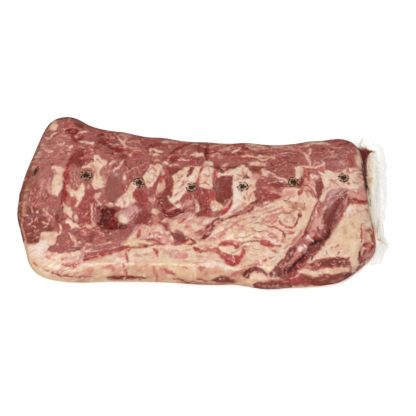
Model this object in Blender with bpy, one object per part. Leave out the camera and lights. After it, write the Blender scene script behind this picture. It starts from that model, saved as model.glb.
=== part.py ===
"""A whole boneless beef striploin with its bone side up, in a skin-tight clear bag whose loose end is
folded down at the right. Metres, +Z up, the table at z = 0, the long way along X, the thin front edge
at -Y. Sizes below are in millimetres."""
import math

import bmesh
import bpy
import numpy as np

NAME = "beef_striploin"
MM = 0.001
GAP = 0.3                      # between the meat and the loose end of the bag

# Plan of the piece, seen from above: x from the rib end, y from the front foot
FRONT = [(12, 6), (61, -6), (130, -7), (220, -7), (300, -10), (350, -15), (405, -16), (450, -9), (492, 20)]
REAR = [(42, 264), (78, 246), (108, 229), (160, 218), (215, 210), (280, 205), (350, 202), (410, 208),
        (455, 214), (488, 214)]
LEFT = [(12, 6), (10, 42), (2, 82), (3, 122), (13, 168), (28, 216), (42, 264)]
RIGHT = [(492, 20), (504, 42), (502, 74), (497, 110), (491, 160), (488, 214)]
CORNER = 9.0                             # squareness of the corners of the plan

# Section of the piece
EDGE_FRONT, EDGE_REAR = 40, 64           # height of the top over the front and over the rear
BELT = 0.42                              # share of the height where the piece is widest
UNDER = 2.5                              # how far the rounded underside is pressed flat by the table
RIM = 0.93                               # share of the plan where the top turns over into the sides
TOP_POWER, BOTTOM_POWER = 3.2, 5.0       # squareness of the turn above and below the belt
RIB_KNOB = (50, 0.85, 75, 0.5, 16)       # centre x, share of depth, spread x, spread of depth, height
RUMP_SWELL = (440, 0.70, 60, 0.5, 4)
CELLS_LONG, CELLS_DEEP, CELLS_HIGH = 84, 36, 7

# Relief of the upper face. It is laid out as seen square on to the face, which slopes to the front:
# across = x, up = y sin(SLOPE) + z cos(SLOPE). Each is points, half width, height (minus is sunk).
SLOPE = math.radians(57)
LINES = [
    ([(88, 182), (76, 168), (71, 158), (69, 145), (70, 130), (67, 118), (66, 100), (62, 85)], 5, -6),  # rib crease
    ([(122, 74), (140, 74), (156, 76)], 4, -4),                                # foot of the pocket
    ([(200, 104), (203, 92), (215, 90), (235, 95), (246, 97)], 4.5, -5),       # groove beside the pocket
    ([(209, 162), (200, 140), (195, 128), (193, 112)], 4, -3),                 # seam between two fingers
    ([(267, 194), (267, 172)], 5, -5),                                         # notch of the rear edge
    ([(312, 156), (308, 122), (300, 101), (285, 88)], 8, 4),                   # tendon finger
    ([(206, 164), (196, 147), (188, 130)], 8, 3),                              # fat finger
    ([(267, 166), (267, 132)], 6, 3),                                          # fat finger
    ([(256, 60), (270, 75), (285, 85), (310, 93), (326, 102), (342, 111)], 5, -5),   # long groove
    ([(283, 42), (293, 32), (305, 25), (315, 31), (318, 46)], 5, -3),          # curl of the front fat
    ([(379, 13), (390, 23), (405, 38), (425, 55), (438, 74)], 7, -6),          # deep fold of the rump end
    ([(438, 74), (450, 97), (462, 120)], 8, -5),                               # its upper end
    ([(350, 28), (372, 45), (392, 68)], 5, 3),                                 # fat ridge
    ([(399, 72), (409, 92), (416, 112)], 5, 3),                                # fat strap
    ([(100, 33), (122, 37), (150, 43), (180, 50), (200, 55)], 4, -3),          # seam above the front fat
    ([(90, 25), (150, 26), (250, 26), (310, 20)], 8, 2),                       # rim of the front fat
    ([(153, 46), (156, 30), (154, 20), (157, 4)], 5, -2),                      # dimple across the rim
    ([(315, 6), (330, 18), (350, 9)], 5, -3),                                  # arch of lean in the side
    ([(34, 192), (26, 160), (18, 130), (13, 100), (10, 74)], 4, 2),            # rim of the rib end
]
SPOTS = [  # centre, half sizes across and up, height
    ((129, 89), (13, 15), -14),     # pocket where a vertebra was
    ((150, 89), (9, 9), 4),         # knob at its side
    ((164, 99), (10, 9), 3),
    ((70, 222), (24, 10), 4),       # rear knob of the rib end
    ((76, 209), (8, 5), -6),
    ((119, 196), (8, 5), -5),       # notches of the rear strip
    ((133, 186), (8, 5), -5),
    ((259, 109), (10, 20), -6),     # hollow
    ((290, 127), (11, 19), -4),     # lean between two fingers
    ((208, 128), (9, 22), -3),
    ((136, 131), (13, 19), -3),
    ((326, 78), (56, 20), 4),       # fat lobe
    ((346, 119), (20, 9), -3),
    ((359, 136), (20, 7), -3),
    ((200, 69), (12, 11), 3),       # fat nodules
    ((378, 85), (9, 9), 3),
    ((466, 72), (18, 34), 3),       # fat plate of the rump end
    ((488, 42), (13, 12), -4),      # puckered corner
    ((442, 27), (22, 6), -3),
    ((36, 74), (26, 20), -3),       # speckled lean of the rib end
    ((58, 142), (9, 20), 2),
    ((41, 45), (22, 14), 3),
    ((414, 146), (9, 8), 2),
]
LUMPS = [(38, 1.6, 11), (17, 0.8, 12)]   # size, height and seed of the general unevenness

# Loose end of the bag: a flattened pouch folded under itself
POUCH_FRONT, POUCH_REAR = 27, 238        # y of its two ends
POUCH_EDGE = [(27, 509), (46, 513), (55, 520), (72, 515), (92, 512), (104, 513), (128, 518), (163, 520),
              (193, 521), (222, 514), (238, 498)]      # outer edge: y, x
POUCH_REAR_X = 482                       # x of its inner edge behind the meat
POUCH_TOP, POUCH_THIN = 31, 4            # height against the meat, thickness at the outer fold
POUCH_CELLS = (9, 52, 2)
CRUMPLE = [(26, 2.6, 21), (11, 1.5, 22)]


def wipe():
    """Empty the scene."""
    for thing in list(bpy.data.objects):
        bpy.data.objects.remove(thing, do_unlink=True)
    for group in list(bpy.data.collections):
        bpy.data.collections.remove(group)


def blend(edge0, edge1, value):
    """0 below edge0 to 1 above edge1 with a soft turn."""
    share = np.clip((value - edge0) / (edge1 - edge0), 0, 1)
    return share * share * (3 - 2 * share)


def bell(distance):
    """Soft bump of height 1."""
    return np.exp(-distance * distance)


def smooth_line(points, share):
    """Points at the shares (0 to 1) of a smooth curve through the given points, by chord length."""
    p = np.array(points, float)
    chord = np.concatenate([[0], np.cumsum(np.hypot(*np.diff(p, axis=0).T))])
    knot = chord / chord[-1]
    slope = np.gradient(p, knot, axis=0)
    share = np.clip(share, 0, 1)
    i = np.clip(np.searchsorted(knot, share, side="right") - 1, 0, len(knot) - 2)
    width = (knot[i + 1] - knot[i])[:, None]
    t = (share - knot[i])[:, None] / width
    return ((2 * t**3 - 3 * t**2 + 1) * p[i] + (t**3 - 2 * t**2 + t) * width * slope[i]
            + (3 * t**2 - 2 * t**3) * p[i + 1] + (t**3 - t**2) * width * slope[i + 1])


def plan(along, deep):
    """Plan position at shares along and deep: a patch stretched between the four edges."""
    front, rear = smooth_line(FRONT, along), smooth_line(REAR, along)
    left, right = smooth_line(LEFT, deep), smooth_line(RIGHT, deep)
    s, t = along[:, None], deep[:, None]
    corners = ((1 - s) * (1 - t) * np.array(FRONT[0]) + s * (1 - t) * np.array(FRONT[-1])
               + (1 - s) * t * np.array(REAR[0]) + s * t * np.array(REAR[-1]))
    return (1 - t) * front + t * rear + (1 - s) * left + s * right - corners


def crown(x, deep):
    """Height of the smooth top."""
    height = EDGE_FRONT + (EDGE_REAR - EDGE_FRONT) * blend(0, 1, deep)
    for cx, ct, wx, wt, rise in (RIB_KNOB, RUMP_SWELL):
        height = height + rise * bell((x - cx) / wx) * bell((deep - ct) / wt)
    return height


def piece_form(cube):
    """Smooth form of the piece for points on the surface of a cube from -1 to 1."""
    a, b, c = cube.T
    flat = np.abs(c) > 0.999
    ring = np.maximum(np.abs(a), np.abs(b))
    power = np.where(c > 0, TOP_POWER, BOTTOM_POWER)
    side = np.abs(c) * (1 - RIM**power)**(1 / power)
    reach = np.where(flat, ring * RIM, (1 - side**power)**(1 / power))
    rise = np.where(flat, (1 - (ring * RIM)**power)**(1 / power), side)
    ring = np.maximum(ring, 1e-9)
    round_off = (np.abs(a / ring)**CORNER + np.abs(b / ring)**CORNER + 1e-12)**(-1 / CORNER)
    scale = reach / ring * np.where(ring > 0.01, round_off, 1)**(ring * ring)
    along, deep = (a * scale + 1) / 2, (b * scale + 1) / 2
    x, y = plan(along, deep).T
    top = crown(x, deep)
    belt = BELT * top
    z = np.where(c > 0, belt + (top - belt) * rise, belt - (belt + UNDER) * rise)
    return np.column_stack([x, y, np.maximum(z, 0)])


def lumps(points, size, seed):
    """Smooth noise from -1 to 1 from a seeded block of random values."""
    block = np.random.default_rng(seed).uniform(-1, 1, (24, 24, 24))
    q = points / size + 8
    cell = np.floor(q).astype(int)
    f = q - cell
    f = f * f * (3 - 2 * f)
    total = 0
    for di in (0, 1):
        for dj in (0, 1):
            for dk in (0, 1):
                weight = (np.where(di, f[:, 0], 1 - f[:, 0]) * np.where(dj, f[:, 1], 1 - f[:, 1])
                          * np.where(dk, f[:, 2], 1 - f[:, 2]))
                total = total + weight * block[(cell[:, 0] + di) % 24, (cell[:, 1] + dj) % 24,
                                               (cell[:, 2] + dk) % 24]
    return total


def line_distance(u, v, points):
    """Distance to a bent line."""
    best = np.full(len(u), 1e9)
    for (ax, ay), (bx, by) in zip(points, points[1:]):
        wx, wy = bx - ax, by - ay
        t = np.clip(((u - ax) * wx + (v - ay) * wy) / (wx * wx + wy * wy), 0, 1)
        best = np.minimum(best, np.hypot(u - ax - t * wx, v - ay - t * wy))
    return best


def relief(points):
    """Height of the relief of the upper face."""
    u = points[:, 0]
    v = points[:, 1] * math.sin(SLOPE) + points[:, 2] * math.cos(SLOPE)
    total = np.zeros(len(u))
    for line, half, height in LINES:
        total += height * bell(line_distance(u, v, line) / half)
    for (cu, cv), (ru, rv), height in SPOTS:
        total += height * blend(1.5, 0.45, np.hypot((u - cu) / ru, (v - cv) / rv))
    for size, height, seed in LUMPS:
        total += height * lumps(points, size, seed)
    return total


def cube_grid(cells):
    """A cube from -1 to 1 cut into a grid, as a bmesh."""
    bm = bmesh.new()
    bmesh.ops.create_cube(bm, size=2)
    for axis, count in enumerate(cells):
        lines = [e for e in bm.edges if abs(e.verts[0].co[axis] - e.verts[1].co[axis]) > 1.9]
        bmesh.ops.subdivide_edges(bm, edges=lines, cuts=count - 1, use_grid_fill=True)
    bm.verts.ensure_lookup_table()
    return bm


def grid_points(bm):
    return np.array([v.co[:] for v in bm.verts])


def place(bm, points):
    """Move the vertices of the bmesh to the points, given in mm."""
    for vertex, point in zip(bm.verts, points):
        vertex.co = [value * MM for value in point]
    bm.normal_update()


def join_base(bm):
    """Make one face of everything that lies flat on the table."""
    flat = [f for f in bm.faces if all(v.co.z < 1e-7 for v in f.verts)]
    bmesh.ops.dissolve_faces(bm, faces=flat, use_verts=True)


def material(name, colour, roughness):
    made = bpy.data.materials.new(name)
    made.use_nodes = True
    shader = made.node_tree.nodes["Principled BSDF"]
    shader.inputs["Base Color"].default_value = (*colour, 1)
    shader.inputs["Roughness"].default_value = roughness
    return made


def add_object(bm, name, group, paint, centre):
    """Turn the bmesh into an object of the group, moved so that the centre becomes the origin."""
    for vertex in bm.verts:
        vertex.co.x -= centre[0] * MM
        vertex.co.y -= centre[1] * MM
    mesh = bpy.data.meshes.new(name)
    bm.to_mesh(mesh)
    bm.free()
    mesh.materials.append(paint)
    made = bpy.data.objects.new(name, mesh)
    group.objects.link(made)
    return made


def striploin():
    """The meat: smooth form, then the relief raised square on to the sloping upper face."""
    bm = cube_grid((CELLS_LONG, CELLS_DEEP, CELLS_HIGH))
    form = piece_form(grid_points(bm))
    place(bm, form)
    normals = np.array([v.normal[:] for v in bm.verts])
    raised = np.array([0, -math.cos(SLOPE), math.sin(SLOPE)])
    shown = blend(0.05, 0.45, normals @ raised)
    form = form + (relief(form) * shown)[:, None] * raised
    form[:, 2] = np.maximum(form[:, 2], 0)
    place(bm, form)
    return bm, form


def pouch(meat):
    """The loose end of the bag, against the right end of the meat."""
    bm = cube_grid(POUCH_CELLS)
    a, b, c = grid_points(bm).T
    out, deep, rise = (a + 1) / 2, (b + 1) / 2, (c + 1) / 2
    y = POUCH_FRONT + (POUCH_REAR - POUCH_FRONT) * deep
    edge = np.array(POUCH_EDGE, float)
    outer = np.interp(y, edge[:, 0], edge[:, 1])
    inner = np.array([meat[np.abs(meat[:, 1] - value) < 7][:, 0].max() for value in y])
    inner = np.maximum(inner + GAP, POUCH_REAR_X)
    x = inner + (outer - inner) * out
    spread = np.column_stack([x, y, 0 * x])
    folds = sum(height * lumps(spread, size, seed) for size, height, seed in CRUMPLE)
    taper = blend(-0.02, 0.16, deep) * blend(1.02, 0.80, deep)
    top = POUCH_THIN + (POUCH_TOP - POUCH_THIN) * taper * (1 - out)**1.4 + folds * (0.4 + 0.6 * (1 - out))
    z = np.maximum(top, 2.2) * rise
    place(bm, np.column_stack([x, y, z]))
    return bm, np.column_stack([x, y, z])


def main():
    wipe()
    group = bpy.data.collections.new(NAME)
    bpy.context.scene.collection.children.link(group)
    meat, meat_points = striploin()
    bag, bag_points = pouch(meat_points)
    both = np.vstack([meat_points, bag_points])
    centre = (both.min(0) + both.max(0)) / 2
    join_base(meat)
    join_base(bag)
    add_object(meat, "striploin", group, material("meat", (0.33, 0.10, 0.08), 0.35), centre)
    add_object(bag, "bag_tail", group, material("film", (0.80, 0.78, 0.72), 0.2), centre)


main()
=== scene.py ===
"""Dressed scene of a whole boneless beef striploin, bone side up, in a tight clear bag with a loose end.

Laid out as a Blender add-on and run as a script. Lengths in the tables are millimetres of the layout that
the CAD source uses: x from the rib end, y from the front foot, z from the table. A place on the upper face
is given as seen square on to that sloping face: across = x, up = y sin(SLOPE) + z cos(SLOPE)."""
import math

import bpy
import numpy as np
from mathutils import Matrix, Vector
from mathutils.bvhtree import BVHTree


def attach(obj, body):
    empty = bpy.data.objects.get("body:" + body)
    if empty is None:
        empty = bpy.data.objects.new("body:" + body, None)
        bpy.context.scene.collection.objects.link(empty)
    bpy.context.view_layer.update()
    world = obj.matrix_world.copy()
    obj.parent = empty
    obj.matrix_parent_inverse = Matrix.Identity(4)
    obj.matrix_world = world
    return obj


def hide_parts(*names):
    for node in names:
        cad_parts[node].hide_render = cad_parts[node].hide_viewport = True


bl_info = {
    "name": "Beef striploin dresser",
    "version": (1, 0, 0),
    "blender": (4, 5, 0),
    "location": "View3D > Sidebar > Striploin",
    "description": "Models and finishes the meat, its clear film, the loose end of the bag and the stage",
    "category": "Mesh",
}

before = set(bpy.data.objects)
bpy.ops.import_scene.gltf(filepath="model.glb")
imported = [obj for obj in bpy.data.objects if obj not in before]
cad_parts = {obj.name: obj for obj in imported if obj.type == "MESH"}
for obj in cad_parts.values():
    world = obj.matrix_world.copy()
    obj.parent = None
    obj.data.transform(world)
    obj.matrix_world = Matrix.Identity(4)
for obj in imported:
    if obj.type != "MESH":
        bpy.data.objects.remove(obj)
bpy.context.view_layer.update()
BODY = "root"
LAYER = "tint"                               # colour layer on the vertices: what is seen, fatness or cover
MM = 0.001
CENTRE = np.array([261.27, 115.19, 0.0])     # layout point that lies at the origin of the part

# ------------------------------- form of the meat, as in the CAD source with its edges followed more closely
FRONT = [(11, 5), (28, -1.5), (61, -6), (90, -7), (130, -5), (160, -5), (192, -5.5), (218, -6.6), (240, -8.6),
         (280, -10.2), (302, -9.8), (325, -13.6), (342, -16.8), (358, -17), (378, -15), (400, -14.2),
         (425, -12), (450, -6.8), (470, 5.5), (490, 23)]
REAR = [(47, 263), (60, 256.5), (72, 252), (83, 246), (92, 239), (101, 232.8), (110, 229.4), (133, 225),
        (150, 223.5), (167, 219.4), (184, 216), (205, 215), (218, 212.6), (235, 209.2), (250, 207.8),
        (268, 207.4), (285, 205.5), (302, 205), (322, 206.4), (344, 203.9), (360, 202.3), (395, 204.6),
        (412, 208), (433, 210.3), (445, 213.6), (458, 217), (470, 218), (488, 215)]
LEFT = [(11, 5), (13, 40), (9.5, 56), (4.5, 76), (0.8, 90), (1.5, 117), (6.8, 147), (13, 168), (20, 188),
        (28.5, 214), (37.5, 241), (47, 263)]
RIGHT = [(490, 23), (502.5, 42), (501, 58), (498.5, 74), (495, 95), (494, 114), (493, 137), (491.5, 160),
         (488, 215)]
CORNER = 9.0                         # power that rounds the corners as seen from above
EDGE_FRONT, EDGE_REAR = 40, 64       # height of the smooth top along both edges
BELT = 0.42                          # share of the height at which the sides stand out most
UNDER = 2.5                          # what the flat foot takes off the round below
RIM = 0.93                           # share of the half width that the upper and lower sides of the grid take
TOP_POWER, BOTTOM_POWER = 3.2, 5.0   # how square the round edges are above and below
# Swellings of the top: place along, share deep, half sizes of the same two, height
RIB_KNOB = (50, 0.85, 75, 0.5, 16)
RUMP_SWELL = (440, 0.70, 60, 0.5, 4)
SLOPE = math.radians(57)             # slope on which the upper face is mapped, and height of the camera
RAISED = np.array([0, -math.cos(SLOPE), math.sin(SLOPE)])
UPWARD = np.array([0, math.sin(SLOPE), math.cos(SLOPE)])
# Grooves and ridges of the upper face: points, half width, height
LINES = [
    ([(88, 182), (76, 168), (71, 158), (69, 145), (70, 130), (67, 118), (66, 100), (62, 85)], 5, -6),
    ([(122, 74), (140, 74), (156, 76)], 4, -4),
    ([(200, 104), (203, 92), (215, 90), (235, 95), (246, 97)], 4.5, -5),
    ([(209, 162), (200, 140), (195, 128), (193, 112)], 4, -3),
    ([(267, 194), (267, 172)], 5, -5),
    ([(312, 156), (308, 122), (300, 101), (285, 88)], 8, 4),
    ([(206, 164), (196, 147), (188, 130)], 8, 3),
    ([(267, 166), (267, 132)], 6, 3),
    ([(256, 60), (270, 75), (285, 85), (310, 93), (326, 102), (342, 111)], 5, -5),
    ([(283, 42), (293, 32), (305, 25), (315, 31), (318, 46)], 5, -3),
    ([(379, 13), (390, 23), (405, 38), (425, 55), (438, 74)], 7, -6),
    ([(438, 74), (450, 97), (462, 120)], 8, -5),
    ([(350, 28), (372, 45), (392, 68)], 5, 3),
    ([(399, 72), (409, 92), (416, 112)], 5, 3),
    ([(100, 33), (122, 37), (150, 43), (180, 50), (200, 55)], 4, -3),
    ([(90, 25), (150, 26), (250, 26), (310, 20)], 8, 2),
    ([(153, 46), (156, 30), (154, 20), (157, 4)], 5, -2),
    ([(315, 6), (330, 18), (350, 9)], 5, -3),
    ([(34, 192), (26, 160), (18, 130), (13, 100), (10, 74)], 4, 2),
]
# Hollows and humps: centre, half size across and up, height
SPOTS = [
    ((129, 89), (13, 15), -14), ((150, 89), (9, 9), 4), ((164, 99), (10, 9), 3), ((70, 222), (24, 10), 4),
    ((76, 209), (8, 5), -6), ((119, 196), (8, 5), -5), ((133, 186), (8, 5), -5), ((259, 109), (10, 20), -6),
    ((290, 127), (11, 19), -4), ((208, 128), (9, 22), -3), ((136, 131), (13, 19), -3), ((326, 78), (56, 20), 4),
    ((346, 119), (20, 9), -3), ((359, 136), (20, 7), -3), ((200, 69), (12, 11), 3), ((378, 85), (9, 9), 3),
    ((466, 72), (18, 34), 3), ((488, 42), (13, 12), -4), ((442, 27), (22, 6), -3), ((36, 74), (26, 20), -3),
    ((58, 142), (9, 20), 2), ((41, 45), (22, 14), 3), ((414, 146), (9, 8), 2),
]
LUMPS = ((1.6, 38, 11), (0.8, 17, 12))   # unevenness: height, size, seed
# Cuts of the grids in one or two rounds, by axis in the order in which they are made
MEAT_GRID = (1, (15, 10)), (2, (16,)), (0, (95, 4))
FILM_GRID = (1, (9, 10)), (2, (8,)), (0, (50, 4))
LOOSE_GRID = (0, (44,)), (2, (3,)), (1, (60, 4))
FOOT = 0.0001                            # metres under which a piece lies on its foot
FILM_CLEARANCE = 0.1                     # least height of the tight film above the table
FILM_CREASES = ((0.35, 15, 61), (0.2, 8, 62))   # creases of the tight film: height, size, seed
CREASE_WIDTH = 0.12                      # their width, as a share of the noise that draws them

# Loose end of the bag: its front and rear end, its outer edge as (y, x), the least x of its inner edge, and
# its height along the meat and at the outer edge
POUCH_FRONT, POUCH_REAR = 27, 238
POUCH_EDGE = [(27, 509), (46, 514), (55, 521), (72, 517), (92, 516), (104, 518), (128, 522), (163, 525),
              (193, 526), (222, 523), (238, 506)]
POUCH_REAR_X = 482
POUCH_TOP, POUCH_THIN = 31, 4

# ------------------------------------------------------------------------------- what is seen on the meat
# Fatness (0 lean to 1 fat), height in mm and roughness of grain of each kind of place. Its colour is in
# PaletteSettings, where wine, black and pocket carry painted shade of hollows and grooves, side painted
# shade of the front side, and white in places painted highlights.
KINDS = {
    "lean": (0.0, 0.0, 0.7), "bright": (0.0, 0.1, 0.7), "red": (0.0, -0.1, 0.7), "plum": (0.0, -0.4, 0.35),
    "brown": (0.1, 0.0, 0.9), "umber": (0.0, -0.4, 1.0), "fat": (1.0, 0.6, 0.7), "white": (1.0, 0.8, 0.5),
    "yellow": (1.0, 0.5, 0.4), "side": (0.9, 0.2, 0.6), "tan": (0.6, 0.0, 0.5), "pink": (0.7, 0.3, 0.6),
    "rose": (0.3, 0.0, 0.7), "blood": (0.0, -0.5, 0.6), "wine": (0.0, -1.2, 0.6), "black": (0.0, -2.2, 0.5),
    "pocket": (0.0, -1.6, 0.6), "silver": (0.3, 0.4, 0.4), "violet": (0.3, 0.2, 0.4), "amber": (0.6, 0.0, 1.0),
    "dusk": (0.0, -0.1, 0.35),
}
# Strokes in the order in which they are laid down: the kind, and for each stroke of it half the width (0 is a
# filled area), then across and up of its points in turn
GROUND = [  # the large fields
    ("lean", (0, -20, -30, 540, -30, 540, 270, -20, 270)),
    ("pink", (0, 474, 184, 480, 188, 492, 180, 494, 112, 470, 112, 464, 126, 470, 135, 468, 150, 472, 160, 478,
     162, 478, 172)),
    ("red", (0, 88, 76, 86, 100, 95, 128, 108, 128, 112, 104, 107, 78)),
    ("brown", (0, 0, 95, 3, 130, 10, 160, 22, 192, 36, 214, 44, 208, 36, 195, 31, 176, 31, 160, 27, 140, 20,
     128, 18, 110, 15, 95)),
    ("bright", (0, 30, 118, 30, 205, 52, 212, 74, 205, 76, 170, 68, 158, 48, 160, 48, 120), (0, 74, 130, 76,
     158, 92, 158, 92, 134, 84, 128), (0, 110, 84, 110, 104, 121, 102, 122, 88, 116, 82)),
    ("plum", (0, 0, 76, 0, 100, 14, 106, 38, 100, 62, 92, 62, 78, 50, 70, 36, 64, 32, 54, 22, 51, 12, 54)),
    ("fat", (0, 6, 56, 22, 52, 27, 48, 33, 54, 36, 60, 34, 66, 42, 69, 50, 68, 58, 70, 62, 66, 59, 60, 58, 52,
     50, 50, 47, 45, 51, 41, 62, 40, 78, 40, 90, 43, 97, 37, 95, 29, 104, 31, 122, 36, 150, 43, 182, 50, 205,
     51, 245, 51, 262, 60, 285, 85, 310, 93, 342, 108, 376, 130, 404, 128, 420, 112, 410, 84, 398, 66, 384, 50,
     372, 34, 352, 10, 340, -30, 0, -30), (0, 404, 26, 412, 36, 426, 52, 437, 62, 446, 76, 460, 100, 467, 108,
     495, 107, 497, 60, 502, 40, 492, 24, 466, 10, 462, 33, 440, 34, 418, 29), (0, 425, 150, 430, 156, 446, 153,
     455, 152, 464, 160, 476, 158, 486, 150, 488, 136, 480, 130, 466, 128, 440, 128, 432, 120, 428, 108, 420,
     112, 426, 124, 430, 134)),
    ("brown", (3, 4, 108, 5, 96, 6, 82)),
    # Side fat is tan and, as painted shade, darker than the top fat, since the front side gets less light
    ("side", (0, 84, -30, 86, 16, 104, 20, 150, 22, 200, 23, 250, 22, 300, 16, 316, 6, 330, 4, 352, 4, 352,
     -30)),
    ("yellow", (0, 10, 40, 20, 20, 40, 14, 84, 2, 84, -30, 0, -30)),
]
RIB_END = [  # rib end, up to the pocket
    ("fat", (0, 48, 161, 60, 161, 67, 158, 66, 148, 67, 138, 67, 130, 62, 124, 58, 120, 50, 120, 49, 128, 50,
     138, 52, 146, 54, 150, 50, 156), (1.1, 38, 184, 43, 182, 50, 182.5), (1.2, 42, 199, 46, 204, 53, 208), (0,
     41, 214, 46, 223, 50, 227, 55, 219, 51, 212), (1.1, 57, 191, 62, 190, 66, 194), (1.3, 72, 186, 78, 189),
     (2.7, 84, 90, 87, 87)),
    ("pink", (2, 50, 33, 58, 31), (2.5, 70, 32, 86, 34), (2, 47, 121, 45, 130, 47, 142), (1.2, 33, 140, 42,
     141), (1, 54, 195, 60, 199, 66, 197), (0.9, 59, 205, 67, 204, 73, 199), (1.2, 50, 187, 54, 189), (1, 71,
     179, 74, 176)),
    ("wine", (2.4, 90, 182, 84, 178, 78, 172, 73, 165, 71, 157), (2.6, 76, 202, 84, 196, 90, 202)),
    ("blood", (2.2, 68, 26, 75, 24, 84, 25, 92, 27), (1.6, 74, 22, 88, 21), (1, 24, 28, 32, 23, 40, 20, 50, 14),
     (3.4, 71, 157, 69, 150, 70, 140, 71, 130, 69, 121, 67, 112, 66, 104), (3.2, 66, 219, 78, 216)),
    ("umber", (0, 1, 80, 2, 110, 8, 112, 10, 96, 8, 82), (3.5, 18, 82, 17, 92, 21, 98), (4, 21, 66, 30, 62, 33,
     70), (3, 80, 222, 90, 216)),
    ("tan", (1, 13, 122, 12, 100, 10, 90, 8, 80, 7, 70), (1, 14, 122, 17, 134, 22, 150, 26, 168, 34, 190, 40,
     203), (1.2, 70, 226, 72, 229)),
    ("plum", (2.2, 5, 112, 8, 128, 13, 146), (2.5, 15, 142, 18, 154), (0, 80, 176, 88, 184, 93, 178, 96, 168,
     92, 158, 84, 160, 77, 166)),
    ("wine", (1.2, 50, 14, 60, 11, 66, 9, 76, 8, 90, 6, 108, 8), (1.7, 70, 148, 69, 140, 69, 132, 68, 124, 66,
     114, 65, 102), (1.6, 86, 181, 90, 174, 87, 160)),
    ("fat", (0.9, 82, 5.5, 89, 6), (0, 75, 126, 80, 127, 86, 125, 90, 134, 95, 138, 97, 126, 93, 113, 87, 102,
     84, 104, 87, 112, 84, 117, 77, 119), (0, 67, 110, 72, 104, 77, 103, 81, 95, 79, 89, 75, 86, 68, 92, 66,
     100)),
    ("blood", (2.8, 76, 112, 81, 109, 84, 113), (1.6, 69, 94, 76, 88)),
    ("rose", (2.2, 71, 218, 77, 216), (2.5, 72, 116, 76, 106)),
    ("lean", (5, 40, 96, 52, 84, 58, 78), (1.2, 30, 176, 27, 162)),
    ("pink", (1.1, 88, 171, 93, 171.5), (3, 74, 124, 74, 132)),
    ("white", (0, 22, 50, 30, 52, 44, 58, 48, 48, 40, 36, 26, 34, 20, 42)),
    ("lean", (0, 47, 44, 52, 49, 58, 52, 60, 60, 65, 69, 72, 70, 78, 67, 84, 58, 88, 51, 98, 50, 96, 44, 85, 41,
     60, 40)),
    ("white", (1.3, 60, 52, 60.5, 52), (1.5, 64, 37, 65, 39)),
    ("violet", (1.3, 77, 45, 78, 45), (3, 35, 134, 36, 140)), ("umber", (1.3, 59, 60, 66, 69)),
    ("fat", (1.4, 39, 100, 43, 95, 51, 90), (1.5, 62, 81, 64, 76, 66, 71, 62, 66), (2.1, 76, 67, 81, 61, 85, 55,
     86, 50), (0, 69, 84, 74, 86, 80, 84, 86, 80, 91, 75, 84, 73, 78, 72, 76, 77), (1.2, 87, 108, 90, 112)),
    ("wine", (0.7, 74, 66, 79, 60), (3, 68, 212, 76, 209, 84, 211), (0.8, 76, 87, 84, 83, 92, 77)),
    ("blood", (1.5, 68, 74, 73, 80, 77, 74)), ("fat", (1.1, 82, 207, 89, 209, 98, 211)),
    ("black", (2, 75, 208.5, 79, 208)), ("red", (1, 34, 163, 48, 164, 58, 165), (3, 76, 204, 88, 203)),
    ("pink", (1.8, 80, 204, 83, 203)),
]
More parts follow.
